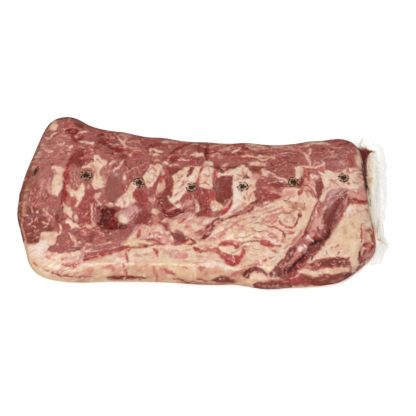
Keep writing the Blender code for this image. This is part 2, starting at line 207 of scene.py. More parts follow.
POCKET = [  # the pocket of the first vertebra, its surroundings and the rear strip
    # Dark red and near black in the hollow of the vertebra: painted shade over the meat's own dark red
    ("pocket", (0, 115, 103, 122, 103, 128, 101, 136, 101, 141, 98, 138, 92, 137, 86, 143, 83, 144, 79, 150, 78,
     156, 76, 155, 73, 146, 73, 135, 72, 124, 73, 118, 76, 114, 80, 118, 85, 121, 92)),
    ("fat", (1.1, 108, 108, 107, 95, 107, 85, 110, 80), (1.4, 98, 77, 106, 76, 112, 79), (1.3, 90, 56, 92, 55),
     (1.1, 93, 42, 98, 46, 99, 50), (1, 98, 41, 104, 43, 108, 46), (1, 125, 71, 127, 70), (1, 133, 68, 135, 67),
     (1.6, 86, 196, 95, 195, 102, 193), (1.2, 139, 204, 145, 197, 150, 190), (0, 106, 177, 113, 176, 120, 171,
     128, 166, 125, 161, 121, 158, 117, 155, 118, 148, 120, 140, 123, 131, 119, 128, 110, 129, 106, 135, 108,
     145, 109, 152, 105, 157, 98, 158, 90, 157, 96, 162, 102, 165, 109, 167, 106, 173), (1.5, 130, 163, 134,
     166, 139, 167), (3, 112, 118, 117, 122)),
    ("bright", (0, 118, 150, 117, 156, 122, 161, 130, 160, 136, 154, 132, 148)),
    ("pink", (0.9, 96, 90, 101, 95), (1, 90, 78, 94, 79), (0.7, 112, 50, 124, 52, 135, 55), (1.1, 141, 78, 144,
     79), (1, 117, 69, 120, 66), (1.3, 130, 203, 136, 201), (2.2, 147, 206, 152, 200, 149, 195), (2.2, 102, 161,
     109, 160), (3, 122, 146, 123, 136), (0.9, 121, 151, 130, 152), (0.9, 152, 152, 158, 154, 165, 158, 170,
     159), (1, 112, 117, 114, 110)),
    ("lean", (0, 129, 150, 140, 152, 148, 150, 150, 140, 152, 130, 150, 120, 143, 115, 135, 108, 128, 110, 124,
     118, 126, 130, 128, 140)),
    ("wine", (2.4, 132, 80, 138, 80), (1.2, 116, 100, 122, 102), (1.2, 113, 203, 117, 206, 122, 205), (0, 112,
     193, 117, 200, 128, 200, 131, 193, 122, 189), (1.6, 133, 178, 139, 181, 147, 182, 158, 180), (1.2, 104,
     172, 107, 168), (1.3, 129, 142, 127, 131, 125, 120)),
    ("blood", (1.8, 98, 30, 105, 31, 112, 35, 122, 37, 132, 39, 140, 42, 149, 44), (1.5, 120, 40, 131, 42),
     (1.3, 154, 42, 156, 34, 157, 27), (1.3, 152, 25, 154, 16, 157, 8), (2, 126, 197, 128, 191), (1.6, 160, 177,
     172, 176), (1, 125, 128, 123, 118)),
    ("plum", (2.6, 107, 60, 110, 66), (1.8, 99, 57, 110, 56), (0, 125, 5, 135, 9, 150, 9, 165, 8, 178, 7, 187,
     5.5, 178, 4.5, 160, 4, 140, 3, 130, 4), (3, 144, 175, 154, 173), (2, 132, 113, 128, 118), (1.6, 135, 161,
     138, 161)),
    ("fat", (1.3, 99, 52.5, 109, 53), (1.1, 121, 102, 118, 100), (3, 160, 30, 172, 32, 186, 32), (1.2, 136, 153,
     142, 159, 147, 166, 150, 169), (2.3, 151, 148, 153, 142), (2.5, 127, 106, 135, 106)),
    ("red", (2, 142, 101, 150, 99), (2, 146, 136, 150, 122), (3, 113, 126, 104, 122)),
    ("black", (1.1, 124, 97, 122, 90, 123, 80), (2.6, 127, 95, 134, 95), (1.8, 126, 76, 124, 84, 130, 87), (1.1,
     130, 73, 143, 74, 155, 75), (1.9, 129, 186, 138, 185)),
    ("violet", (1.6, 91, 29, 94, 36, 97, 41), (0, 137, 90, 140, 95, 148, 100, 155, 100, 160, 106, 168, 104, 173,
     97, 168, 90, 160, 82, 150, 86), (1.6, 101, 133, 102, 128)),
    ("fat", (0, 163, 137, 160, 135, 156, 128, 153, 122, 146, 116, 141, 111, 137, 105, 148, 103, 155, 102, 164,
     108, 171, 112, 165, 118, 163, 124, 170, 130, 168, 138)),
    ("red", (1, 160, 88, 168, 96), (0, 163, 124, 170, 127, 182, 126, 184, 112, 178, 100, 172, 104, 168, 112,
     163, 118)),
    ("plum", (0, 166, 80, 170, 90, 176, 98, 186, 96, 190, 92, 186, 85, 182, 78, 174, 78), (2, 174, 122, 177,
     110)),
    ("wine", (1, 160, 81, 166, 88, 171, 95), (0.9, 175, 80, 181, 92), (2, 151, 45, 152, 46), (0.9, 134, 5, 150,
     7, 166, 6), (2.8, 128, 188, 142, 184, 148, 184)),
    ("white", (1.1, 115, 106, 118, 110), (1.1, 117, 104, 121, 106), (0, 145, 91, 149, 93, 153, 91, 157, 85, 157,
     80, 151, 79, 146, 82, 144, 86), (1.8, 98, 25, 112, 24, 126, 26, 142, 27), (0.8, 153, 4, 155, 7), (1.8, 102,
     193, 108, 194), (1.2, 148, 103, 151, 114), (1.2, 154, 101, 158, 116)),
    ("rose", (3, 104, 15, 108, 18), (1.6, 122, 20, 136, 22, 140, 14), (1, 160, 187, 172, 186), (0.9, 160, 196,
     170, 195)),
    ("violet", (1, 148, 86, 150, 84), (0.6, 151, 104, 154, 115), (0.6, 158, 104, 162, 112)),
    ("pink", (1.2, 130, 193, 135, 190, 141, 192), (1.2, 136, 179, 139, 178), (1.4, 158, 176, 160, 177)),
    ("black", (0.9, 136, 193, 137, 192.5)),
    ("silver", (0, 148, 49, 150, 57, 156, 62, 162, 68, 168, 76, 172, 79, 172, 74, 164, 65, 158, 58, 152, 52)),
    ("umber", (0.6, 152, 58, 158, 64), (0.9, 152, 167, 155, 162)),
    ("yellow", (0, 152, 50, 158, 58, 165, 67, 173, 74, 175, 66, 176, 50, 160, 48), (1.7, 110, 1, 150, 1, 200,
     1)),
    ("blood", (2.2, 154, 48, 158, 44, 161, 46)),
]
MIDDLE = [  # the fingers of fat between the vertebrae
    ("pink", (0, 168, 58, 171, 72, 177, 80, 186, 76, 192, 80, 206, 82, 212, 74, 216, 66, 222, 58, 216, 51, 204,
     51, 190, 57), (0, 238, 58, 244, 66, 256, 68, 264, 76, 272, 80, 278, 86, 270, 89, 260, 91, 250, 90, 246, 76,
     240, 64), (0, 244, 64, 256, 66, 263, 60, 256, 54, 248, 51, 236, 51, 240, 56), (2.5, 212, 38, 206, 44),
     (2.5, 222, 34, 228, 42), (1, 192, 168, 200, 169), (1.8, 222, 163, 227, 163), (1.1, 233, 178, 239, 182, 243,
     184), (1.1, 226, 180, 228, 182), (0, 204, 143, 208, 141, 209, 131, 205, 126, 200, 122, 198, 130, 200, 136),
     (0.8, 282, 176, 292, 178)),
    ("fat", (2.6, 176, 66, 178, 72), (2.2, 208, 58, 212, 62), (2.4, 206, 84, 212, 86), (2.4, 262, 82, 270, 86),
     (2.2, 256, 71, 263, 74), (2, 250, 61, 259, 62), (1.6, 248, 55, 256, 55), (0, 190, 98, 193, 101, 198, 100,
     202, 96, 198, 93, 192, 93), (4.5, 217, 74, 221, 74), (1.4, 186, 183, 192, 185, 196, 182, 205, 181), (1.2,
     186, 179, 194, 177, 200, 176), (3, 206, 164, 211, 164), (1, 211, 168, 214, 175), (1.8, 215, 161, 217, 163),
     (0, 186, 162, 192, 163, 199, 163, 205, 161, 204, 156, 200, 148, 197, 142, 194, 137, 190, 131, 184, 131,
     180, 136, 178, 146, 181, 152, 186, 157), (1.2, 200, 136, 197, 128, 195, 118, 192, 108), (1.6, 203, 158,
     205, 152, 203, 147), (1.2, 303, 181, 310, 184, 314, 187), (1.1, 316, 175, 330, 175, 345, 173)),
    ("wine", (1, 203, 100, 206, 94, 209, 89), (1.1, 183, 59, 190, 58, 201, 55), (1, 220, 4, 228, 4, 233, 1, 240,
     0, 250, 0), (0.9, 252, 5, 260, 2, 268, 1), (1.8, 182, 186, 188, 190, 195, 192, 199, 188), (1, 189, 178,
     191, 179), (0.7, 197, 178, 202, 179), (3, 214, 171, 226, 172), (1, 214, 178, 222, 184, 230, 188, 241, 193),
     (1.5, 270, 183, 280, 181), (3, 318, 187, 325, 186)),
    ("brown", (1.4, 230, -2, 262, -3, 296, -3)),
    ("rose", (0, 190, 91, 200, 92, 203, 82, 196, 79, 190, 82), (2, 232, 34, 239, 37), (1.8, 193, 22, 195, 15,
     198, 8, 198, 1), (1.5, 236, 14, 240, 13), (2.6, 256, 18, 262, 20), (1, 200, 195, 212, 196, 224, 196), (1.1,
     288, 190, 300, 188, 310, 187), (1.4, 310, 166, 320, 168)),
    # The yellow band from across 170 to 256 at up 27 is a painted highlight along the front rim
    ("yellow", (0, 168, 57, 180, 57, 192, 56, 190, 52, 180, 51, 168, 51), (2.2, 170, 27, 200, 26, 230, 28, 256,
     28), (1, 325, 192, 337, 192.5)),
    ("blood", (1.3, 168, 46, 178, 48, 188, 50), (1, 200, 53, 208, 51), (1.8, 193, 46, 197, 42, 199, 36), (2.4,
     249, 46, 256, 44, 262, 43), (1.5, 203, 20, 210, 16, 218, 13, 224, 10), (1.8, 200, 141, 194, 132, 195, 122),
     (1.2, 238, 110, 245, 117, 250, 121), (1.2, 300, 171, 314, 172, 328, 171)),
    ("pink", (2, 179, 70, 181, 63), (0, 206, 92, 216, 88, 228, 91, 244, 95, 260, 90, 262, 74, 250, 62, 240, 64,
     230, 70, 214, 78), (1.4, 197, 160, 195, 150, 190, 141), (4, 238, 106, 246, 112), (2, 186, 116, 190, 110),
     (1.2, 284, 183, 292, 186, 300, 184), (1.2, 326, 186, 340, 185)),
    ("fat", (6.5, 200, 72, 203, 73), (3.6, 224, 74, 236, 78), (3, 226, 84, 222, 80), (2.6, 246, 76, 258, 76),
     (2.8, 240, 68, 236, 66), (3, 250, 86, 258, 87)),
    ("blood", (2.4, 172, 62, 175, 70), (1.5, 228, 81, 234, 84, 238, 88), (1.2, 212, 88, 224, 87), (1.4, 236, 75,
     241, 78), (1.4, 250, 68, 260, 71), (1, 240, 114, 246, 113)),
    ("white", (1.3, 183, 74, 184, 77), (0.6, 240, 83, 245, 94), (0.6, 244, 86, 249, 95), (1.7, 251, 109, 256,
     100, 251, 97), (2.6, 226, 106, 230, 104), (0.8, 232, 100, 235, 108)),
    ("wine", (1.2, 200, 82, 207, 80), (0.9, 180, 49.5, 191, 50.5), (0, 203, 100, 215, 99, 225, 100, 236, 98,
     233, 95, 225, 92, 215, 89, 208, 90)),
    ("plum", (2.6, 252, 93, 256, 92), (5, 252, 187, 262, 186), (0, 210, 148, 215, 143, 219, 138, 219, 132, 216,
     128, 217, 120, 212, 112, 213, 108, 220, 107, 217, 101, 205, 100, 198, 106, 198, 112, 203, 120, 209, 127,
     209, 136, 208, 142)),
    ("red", (4, 228, 170, 250, 169), (2.2, 213, 144, 215, 134), (0, 252, 124, 257, 130, 266, 129, 269, 120, 269,
     110, 271, 100, 269, 90, 255, 90, 257, 100, 256, 110), (2.4, 186, 122, 190, 130)),
    ("blood", (1.5, 210, 97, 222, 97), (1.5, 211, 160, 209, 151, 204, 144, 198, 138)),
    ("plum", (0, 211, 159, 222, 159, 231, 157, 228, 152, 220, 149, 212, 148), (3, 260, 92, 264, 98)),
    ("fat", (4, 180, 64, 188, 72), (0, 244, 179, 252, 179.5, 264, 179, 264, 174, 252, 175.5, 244, 175), (0, 219,
     148, 226, 152, 233, 157, 240, 160, 252, 160, 260, 160, 257, 150, 253, 142, 250, 138, 240, 126, 236, 120,
     228, 114, 222, 109, 214, 110, 217, 118, 220, 128, 221, 138)),
    ("rose", (1, 222, 120, 230, 124, 238, 130), (1, 224, 149, 231, 146, 236, 150), (1, 223, 137, 229, 141, 234,
     138)),
    ("wine", (1.5, 187, 65, 187, 68), (1.1, 256, 112, 259, 102, 257, 97), (2.8, 267, 191, 267, 182, 267, 171)),
    ("black", (1, 210, 90, 220, 91, 228, 93, 235, 97), (0.8, 188, 189, 194, 191), (1, 266, 188, 266, 176)),
    ("pink", (3, 194, 66, 204, 63), (0.8, 229, 172, 240, 169), (3.2, 255, 144, 258, 138), (1.4, 271, 176, 278,
     176)),
    ("blood", (0.8, 193, 66, 194, 66), (0.8, 197, 63, 198, 63), (0.9, 201, 68, 203, 67), (1.4, 259, 160, 257,
     152, 254, 142, 251, 133)),
    ("white", (1.6, 202, 62, 204, 62), (0.8, 226, 91, 234, 94, 242, 95), (1.5, 222, 112, 229, 118, 236, 127)),
    ("fat", (0, 264, 167, 271, 168, 276, 165, 277, 158, 275, 150, 276, 142, 274, 132, 270, 128, 262, 128, 257,
     133, 257, 142, 259, 152, 261, 160)),
    ("blood", (1.5, 230, 114, 237, 120, 243, 126), (0.8, 258, 137, 264, 136, 270, 134), (1.7, 279, 166, 279,
     155, 277, 144, 276, 132)),
    ("pink", (5, 207, 62, 212, 56), (1.3, 262, 145, 270, 146)),
    ("rose", (2, 208, 66, 216, 64), (1, 268, 158, 270, 152)),
    ("fat", (4.2, 217, 60, 218, 60), (2.6, 212, 67, 213, 67), (0, 281, 151, 290, 151, 296, 154, 305, 157, 312,
     159, 318, 164, 324, 160, 330, 150, 336, 142, 334, 132, 336, 124, 334, 112, 326, 108, 318, 104, 308, 100,
     296, 96, 288, 100, 302, 118, 303, 128, 304, 146, 292, 146, 282, 145)),
    ("plum", (0, 218, 69, 226, 68, 232, 64, 238, 61, 241, 57, 233, 54, 227, 56, 222, 61, 217, 66), (0, 236, 145,
     239, 152, 243, 160, 249, 159, 246, 150, 241, 144), (0, 283, 144, 292, 146, 303, 146, 303, 140, 301, 128,
     300, 118, 296, 112, 288, 108, 282, 110, 278, 118, 276, 126, 278, 135, 281, 141), (0, 326, 156, 331, 160,
     346, 160, 345, 157, 341, 153, 340, 148, 335, 150)),
    ("umber", (1.3, 201, 118, 199, 108), (0, 270, 160, 281, 163, 288, 158, 300, 160, 314, 161, 303, 156, 295,
     154, 288, 151, 283, 156), (1.2, 288, 110, 296, 114, 300, 120)),
    ("blood", (1.3, 195, 122, 196, 113, 193, 104), (0, 270, 127, 277, 126, 279, 117, 276, 112, 269, 114), (0,
     288, 98, 294, 103, 298, 109, 302, 116, 301, 105, 296, 97, 289, 93, 284, 95)),
    ("fat", (1.4, 286, 161, 296, 164), (0, 272, 112, 278, 113, 283, 108, 288, 106, 290, 103, 283, 98, 275, 97,
     272, 103), (2.3, 325, 164, 335, 164.5, 348, 163)),
    ("wine", (1.6, 207, 80, 210, 74, 213, 71), (1.5, 238, 56, 245, 59, 250, 54, 241, 52), (0.9, 284, 144, 294,
     146, 303, 147, 303, 141)),
    ("white", (1.4, 276, 103, 280, 100), (0, 303, 140, 309, 136, 312, 128, 314, 120, 316, 110, 312, 103, 304,
     98, 297, 92, 289, 86, 285, 88, 291, 93, 298, 99, 301, 106, 303, 116, 303, 128)),
    ("rose", (1.1, 274, 92, 282, 100), (0.8, 318, 119, 321, 111), (1, 318, 158, 316, 152, 320, 146)),
    ("plum", (0, 315, 141, 318, 147, 322, 150, 327, 146, 328, 142, 321, 143)),
    ("pink", (4, 332, 145, 340, 146)),
]
LOWER = [  # long groove, fat lobe and front fat
    ("amber", (3.2, 381, 103, 384, 106), (2.6, 398, 101, 403, 103), (2.2, 390, 98, 392, 110)),
    ("yellow", (1.3, 384, 68, 389, 71)),
    ("rose", (1.2, 278, 65, 288, 69, 298, 73), (1.2, 320, 66, 321, 69), (1.2, 342, 103, 352, 108, 360, 112), (1,
     340, 90, 346, 86, 341, 79), (1.6, 322, 23, 334, 24, 342, 24), (2.4, 300, 10, 310, 13, 316, 16), (1.5, 264,
     13, 280, 14), (1.2, 351, 34, 355, 33, 359, 34), (1, 342, 84, 350, 82, 356, 84), (1, 355, 68, 362, 65, 366,
     62), (1.5, 398, 106, 404, 100), (1.2, 362, 92, 372, 96, 384, 94)),
    ("pocket", (0, 314, 10, 318, 16, 325, 20, 333, 21, 342, 18, 350, 12, 350, 8, 342, 12, 333, 14, 326, 12, 322,
     5, 318, 6)),
    ("blood", (0.8, 326, 75, 333, 70, 341, 69, 350, 71), (0, 281, 50, 285, 55, 292, 58, 300, 57, 308, 56, 313,
     52, 308, 47, 303, 44, 305, 49, 298, 51, 290, 50), (1.6, 255, 44, 265, 43, 275, 45, 283, 46), (0, 282, 48,
     287, 40, 293, 34, 298, 40, 304, 34, 312, 35, 315, 42, 317, 48, 320, 42, 316, 32, 309, 24, 302, 22, 294, 25,
     288, 32, 281, 40), (0.8, 334, 12, 341, 15, 348, 11), (1.2, 352, 76, 360, 75, 368, 72, 374, 68, 373, 63),
     (1.2, 367, 85, 369, 79, 376, 75, 384, 75, 390, 80), (1.2, 390, 80, 393, 88, 397, 96), (1.2, 378, 66, 384,
     68, 376, 70)),
    ("pink", (1.8, 300, 70, 312, 76, 318, 78), (1.4, 330, 95, 345, 99, 360, 104), (1.8, 264, 56, 276, 58, 288,
     62), (1.8, 262, 49, 272, 50), (2, 334, 30, 340, 26), (2, 374, 86, 377, 82)),
    ("wine", (1.2, 293, 53, 298, 53), (0.6, 300, 40, 307, 42, 313, 46, 320, 49), (0.8, 306, 45, 316, 53, 326,
     56, 336, 57, 346, 56), (1.4, 367, 85, 369, 81), (2.2, 394, 91, 397, 93)),
    ("blood", (0, 338, 57, 346, 58, 352, 56, 359, 52, 361, 49, 352, 47, 346, 49, 340, 52)),
    ("plum", (0, 268, 2, 276, 6, 284, 9, 292, 8, 300, 5, 308, 1, 300, -1, 285, 0, 275, 0), (0, 328, -3, 335, 0,
     350, 1, 365, 2, 372, 0, 382, -2, 386, -6, 382, -20, 334, -20)),
    ("fat", (0, 285, 86, 296, 90, 306, 94, 317, 99, 323, 104, 330, 112, 320, 113, 308, 105, 298, 96, 288, 91),
     (3, 328, 6, 342, 6), (1.6, 352, 5, 366, 5)),
    ("umber", (0, 258, 59, 263, 66, 268, 69, 267, 76, 274, 82, 282, 86, 290, 87, 300, 91, 310, 94, 318, 96, 326,
     100, 322, 103, 326, 108, 334, 111, 342, 112, 333, 104, 330, 98, 320, 94, 310, 91, 300, 88, 290, 84, 285,
     79, 278, 77, 274, 70, 270, 63, 263, 58), (1, 382, 104, 384, 103), (1, 388, 109, 391, 108)),
    # The white band from across 255 to 306 near up 25 is a painted highlight along the front rim
    ("white", (2.4, 262, 79, 268, 83, 275, 87), (1.6, 300, 64, 310, 66), (0.6, 303, 41, 311, 45, 318, 50, 328,
     55), (1.7, 255, 28, 275, 26, 292, 22, 306, 18), (0.7, 284, 3.5, 285, 4), (0.6, 289, 5, 290, 5), (0.8, 270,
     2, 271, 2), (1.4, 354, 29, 360, 34, 367, 41, 373, 46, 380, 54, 388, 62, 392, 68)),
    ("violet", (1.1, 274, 72, 279, 77), (1.7, 330, 83, 336, 86)),
    ("pink", (1.6, 300, 96, 312, 101, 322, 108), (1.6, 284, 76, 296, 80, 310, 84, 322, 87)),
    ("silver", (1.2, 271, 66, 275, 71), (1.2, 326, 103, 333, 106)),
    ("rose", (1, 292, 73, 303, 78, 312, 83), (0.9, 318, 99, 330, 103, 345, 108), (1, 360, 50, 368, 50), (1.1,
     336, -4, 338, -4), (0.8, 346, -5, 346, -7), (0.8, 357, -2, 358, -6), (1.3, 342, 28, 347, 33), (1.6, 370,
     58, 376, 55)),
    ("wine", (1.1, 258, 60, 264, 61)), ("black", (0.6, 262, 62, 268, 64)),
    ("plum", (0, 351, 12, 358, 20, 364, 27, 369, 32, 372, 28, 369, 20, 368, 12, 366, 7, 354, 8)),
]
RUMP = [  # deep fold, fat plate and lean of the rump end
    ("yellow", (2.2, 386, -7, 404, -8, 424, -7), (3, 462, 52, 464, 44)),
    ("blood", (0.8, 443, 47, 449, 53), (0.8, 444, 36, 449, 42), (0.9, 482, 80, 481, 70, 479, 57), (1.3, 468,
     109, 480, 108, 493, 108), (1.2, 470, 114, 480, 111, 493, 113), (2.2, 406, 146, 408, 140, 412, 136), (1.5,
     466, 158, 466, 150), (1.5, 464, 136, 466, 136), (0.8, 448, 196, 462, 198)),
    ("wine", (0, 373, 28, 376, 38, 382, 46, 390, 49, 389, 43, 383, 35, 378, 27), (1.3, 491, 74, 494, 65, 498,
     56), (1.1, 357, 166, 360, 160), (1, 352, 156, 360, 149, 369, 145), (2, 400, 142, 398, 136, 397, 131)),
    ("fat", (1.2, 358, 187, 372, 189, 386, 188), (1.1, 340, 176, 352, 174, 362, 172, 361, 178), (1.1, 352, 171,
     346, 169, 340, 171), (1.5, 398, 187, 405, 190, 418, 193, 430, 194, 441, 192), (4, 346, 154, 352, 148),
     (2.4, 474, 154, 484, 144)),
    ("lean", (0, 402, 187, 412, 189, 430, 190, 450, 189, 470, 190, 481, 186, 479, 176, 474, 165, 462, 158, 455,
     153, 440, 153, 432, 156, 430, 162, 424, 166, 415, 168, 411, 175, 411, 184), (0, 340, 139, 352, 143, 365,
     141, 378, 140, 382, 136, 385, 131, 370, 129, 360, 130, 352, 131, 344, 134)),
    ("tan", (0.8, 400, 193, 420, 196)),
    ("pink", (1.4, 378, 27, 386, 37, 394, 46), (0, 400, 60, 408, 68, 412, 80, 418, 92, 426, 104, 430, 96, 424,
     80, 414, 64, 408, 56), (2, 486, 82, 486, 60, 484, 52), (1.2, 396, 184, 402, 180, 406, 177), (1.2, 413, 186,
     411, 178), (1.6, 416, 163, 421, 165, 427, 162), (3.2, 404, 124, 410, 118), (1.4, 438, 142, 446, 136, 452,
     132), (1, 454, 166, 462, 170), (1.2, 470, 184, 476, 178), (0.8, 434, 180, 446, 181)),
    ("rose", (1.8, 372, 46, 382, 53, 392, 63, 398, 72), (2.6, 420, 86, 424, 96, 430, 108), (0.8, 436, 46, 440,
     48), (1, 431, 38, 432, 43), (0, 476, 27, 475, 40, 478, 48, 485, 53, 493, 57, 502, 56, 504, 40, 497, 32,
     490, 28, 482, 24), (1.6, 474, 14, 480, 21), (0.9, 466, 124, 478, 122, 484, 118), (1.1, 402, 126, 410, 122,
     416, 116), (7, 457, 144, 459, 144), (1.6, 480, 148, 482, 144)),
    ("wine", (1.3, 476, 42, 477, 34), (1.5, 482, 50, 487, 51), (1.6, 494, 44, 497, 51), (1, 479, 29, 486, 31,
     492, 34), (2.2, 464, 147, 463, 141), (1.3, 452, 189, 464, 194, 476, 197)),
    ("blood", (1.2, 424, 104, 420, 98), (0.9, 484, 80, 487, 84), (0.8, 374, 187, 390, 187), (1, 420, 163, 422,
     163)),
    ("red", (0, 332, 124, 340, 128, 350, 128, 358, 125, 366, 122, 372, 119, 368, 113, 360, 112, 350, 111, 342,
     113, 334, 116), (3, 398, 128, 396, 120), (3.5, 469, 178, 470, 166, 474, 160)),
    ("fat", (0, 398, 66, 403, 80, 408, 90, 413, 100, 420, 112, 422, 108, 415, 94, 411, 86, 407, 76, 402, 66),
     (1.6, 405, 179, 409, 174, 411, 166, 411, 160), (1.4, 353, 153, 362, 147, 372, 143, 380, 139)),
    ("pink", (0.9, 370, 184, 384, 186, 396, 184), (1.7, 411, 159, 420, 157, 430, 158, 431, 163), (4, 374, 118,
     388, 126)),
    # The violet patch at across 388 to 405, up 36 to 52, is a painted highlight of the wet film
    ("violet", (0, 388, 40, 391, 48, 398, 52, 405, 48, 402, 40, 394, 36), (3, 420, 74, 427, 77)),
    ("rose", (0, 398, 150, 400, 158, 412, 156, 430, 156, 432, 151, 420, 150, 410, 151), (2.6, 356, 126, 372,
     124)),
    ("wine", (4.4, 374, 5, 384, 17, 393, 26, 404, 37, 412, 47, 422, 54, 432, 66), (1.5, 398, 62, 403, 70, 406,
     80, 410, 88), (1.1, 411, 91, 417, 103, 423, 113), (2.8, 404, 154, 407, 155), (0, 424, 147, 428, 141, 429,
     130, 424, 120, 421, 112, 418, 120, 415, 130, 418, 137, 421, 143)),
    # The white strokes at across 392 to 398 and 404 to 408 are painted highlights of the wet film
    ("white", (1.8, 392, 43, 398, 47), (1.3, 391, 14, 397, 15, 403, 14), (1.6, 404, 62, 408, 60), (1.3, 372,
     112, 380, 118), (1.4, 382, 129, 392, 128), (3, 413, 146, 416, 147), (1.2, 424, 153, 430, 148, 434, 141,
     434, 131), (1.7, 480, 172, 484, 160)),
    ("black", (1.6, 371, 16, 372, 10), (2.4, 412, 51, 420, 55, 428, 58, 434, 66, 440, 75), (1, 478, 37, 483, 40,
     489, 42), (0.8, 492, 41, 495, 47)),
    ("plum", (3, 400, 34, 412, 42, 420, 46), (0.9, 368, 170, 376, 172, 383, 172), (1.8, 358, 135, 372, 135), (2,
     344, 121, 352, 118)),
    ("fat", (0, 394, 17, 402, 19, 412, 16, 430, 19, 462, 20, 464, 12, 445, 12, 430, 11, 412, 8, 402, 12, 395,
     13), (1.2, 404, 27, 412, 36, 420, 46), (0, 388, 158, 395, 161, 400, 158, 399, 150, 397, 143, 392, 141, 390,
     146, 391, 152), (1.1, 411, 134, 415, 127, 419, 119)),
    ("side", (2, 424, 15, 436, 17, 456, 16)),
    ("blood", (1, 410, 32, 418, 42, 428, 54), (2.4, 412, 70, 416, 66, 422, 62), (1.2, 373, 112, 376, 111)),
    ("wine", (1.4, 411, 33, 416, 38), (1.3, 411, 62, 418, 59, 426, 62), (0.9, 409, 149, 412, 151)),
    ("umber", (4.2, 378, 12, 386, 20, 393, 28, 402, 36), (0, 408, 25, 415, 27, 425, 28, 432, 29, 441, 32.5, 449,
     34, 456, 33, 460, 29, 464, 27, 462, 23, 450, 22, 430, 21, 415, 21), (0, 424, 62, 429, 72, 428, 82, 427, 92,
     433, 101, 440, 106, 450, 113, 461, 124, 464, 118, 456, 105, 450, 92, 445, 82, 438, 72, 432, 63, 427, 54)),
    ("violet", (1.4, 425, 78, 431, 77), (1.5, 480, 40, 483, 45), (1, 487, 38, 490, 46)),
    ("black", (2.7, 378, 13, 385, 20, 391, 27, 398, 33, 402, 37), (1.2, 402, 37, 408, 44, 412, 51)),
    ("red", (0, 372, 10, 380, 12, 390, 12, 400, 9, 412, 4, 405, -2, 390, -3, 376, 0)),
    ("blood", (1.4, 380, 2, 394, 1), (1, 410, 21, 425, 20, 440, 20), (0.8, 412, 29, 425, 31, 440, 33), (1.3,
     450, 84, 457, 96, 464, 108, 465, 120)),
    ("plum", (0, 400, 8, 410, 5, 420, 10, 430, 11.5, 445, 11, 458, 14, 466, 12, 472, 6, 462, -6, 430, -6, 410,
     -4, 403, 2), (4, 433, 88, 440, 100, 450, 108)),
    ("brown", (1.6, 466, 4, 476, 13, 486, 24)), ("rose", (1, 430, 8, 433, 8), (1.2, 438, 68, 447, 79, 454, 88)),
    ("white", (1.3, 427, 99, 433, 104), (0.9, 482, 44, 486, 47)),
    ("silver", (0.7, 449, 90, 456, 101, 461, 112), (1.6, 430, 104, 435, 110), (0.9, 493, 49, 495, 53), (0, 433,
     114, 436, 122, 442, 127, 452, 129, 464, 129, 456, 123, 446, 119, 439, 116, 434, 108)),
    ("wine", (0.8, 440, 118, 450, 122, 460, 125)),
    ("white", (0.8, 433, 112, 440, 117, 450, 120, 458, 124, 463, 128), (0.8, 463, 128, 474, 131, 486, 133)),
]
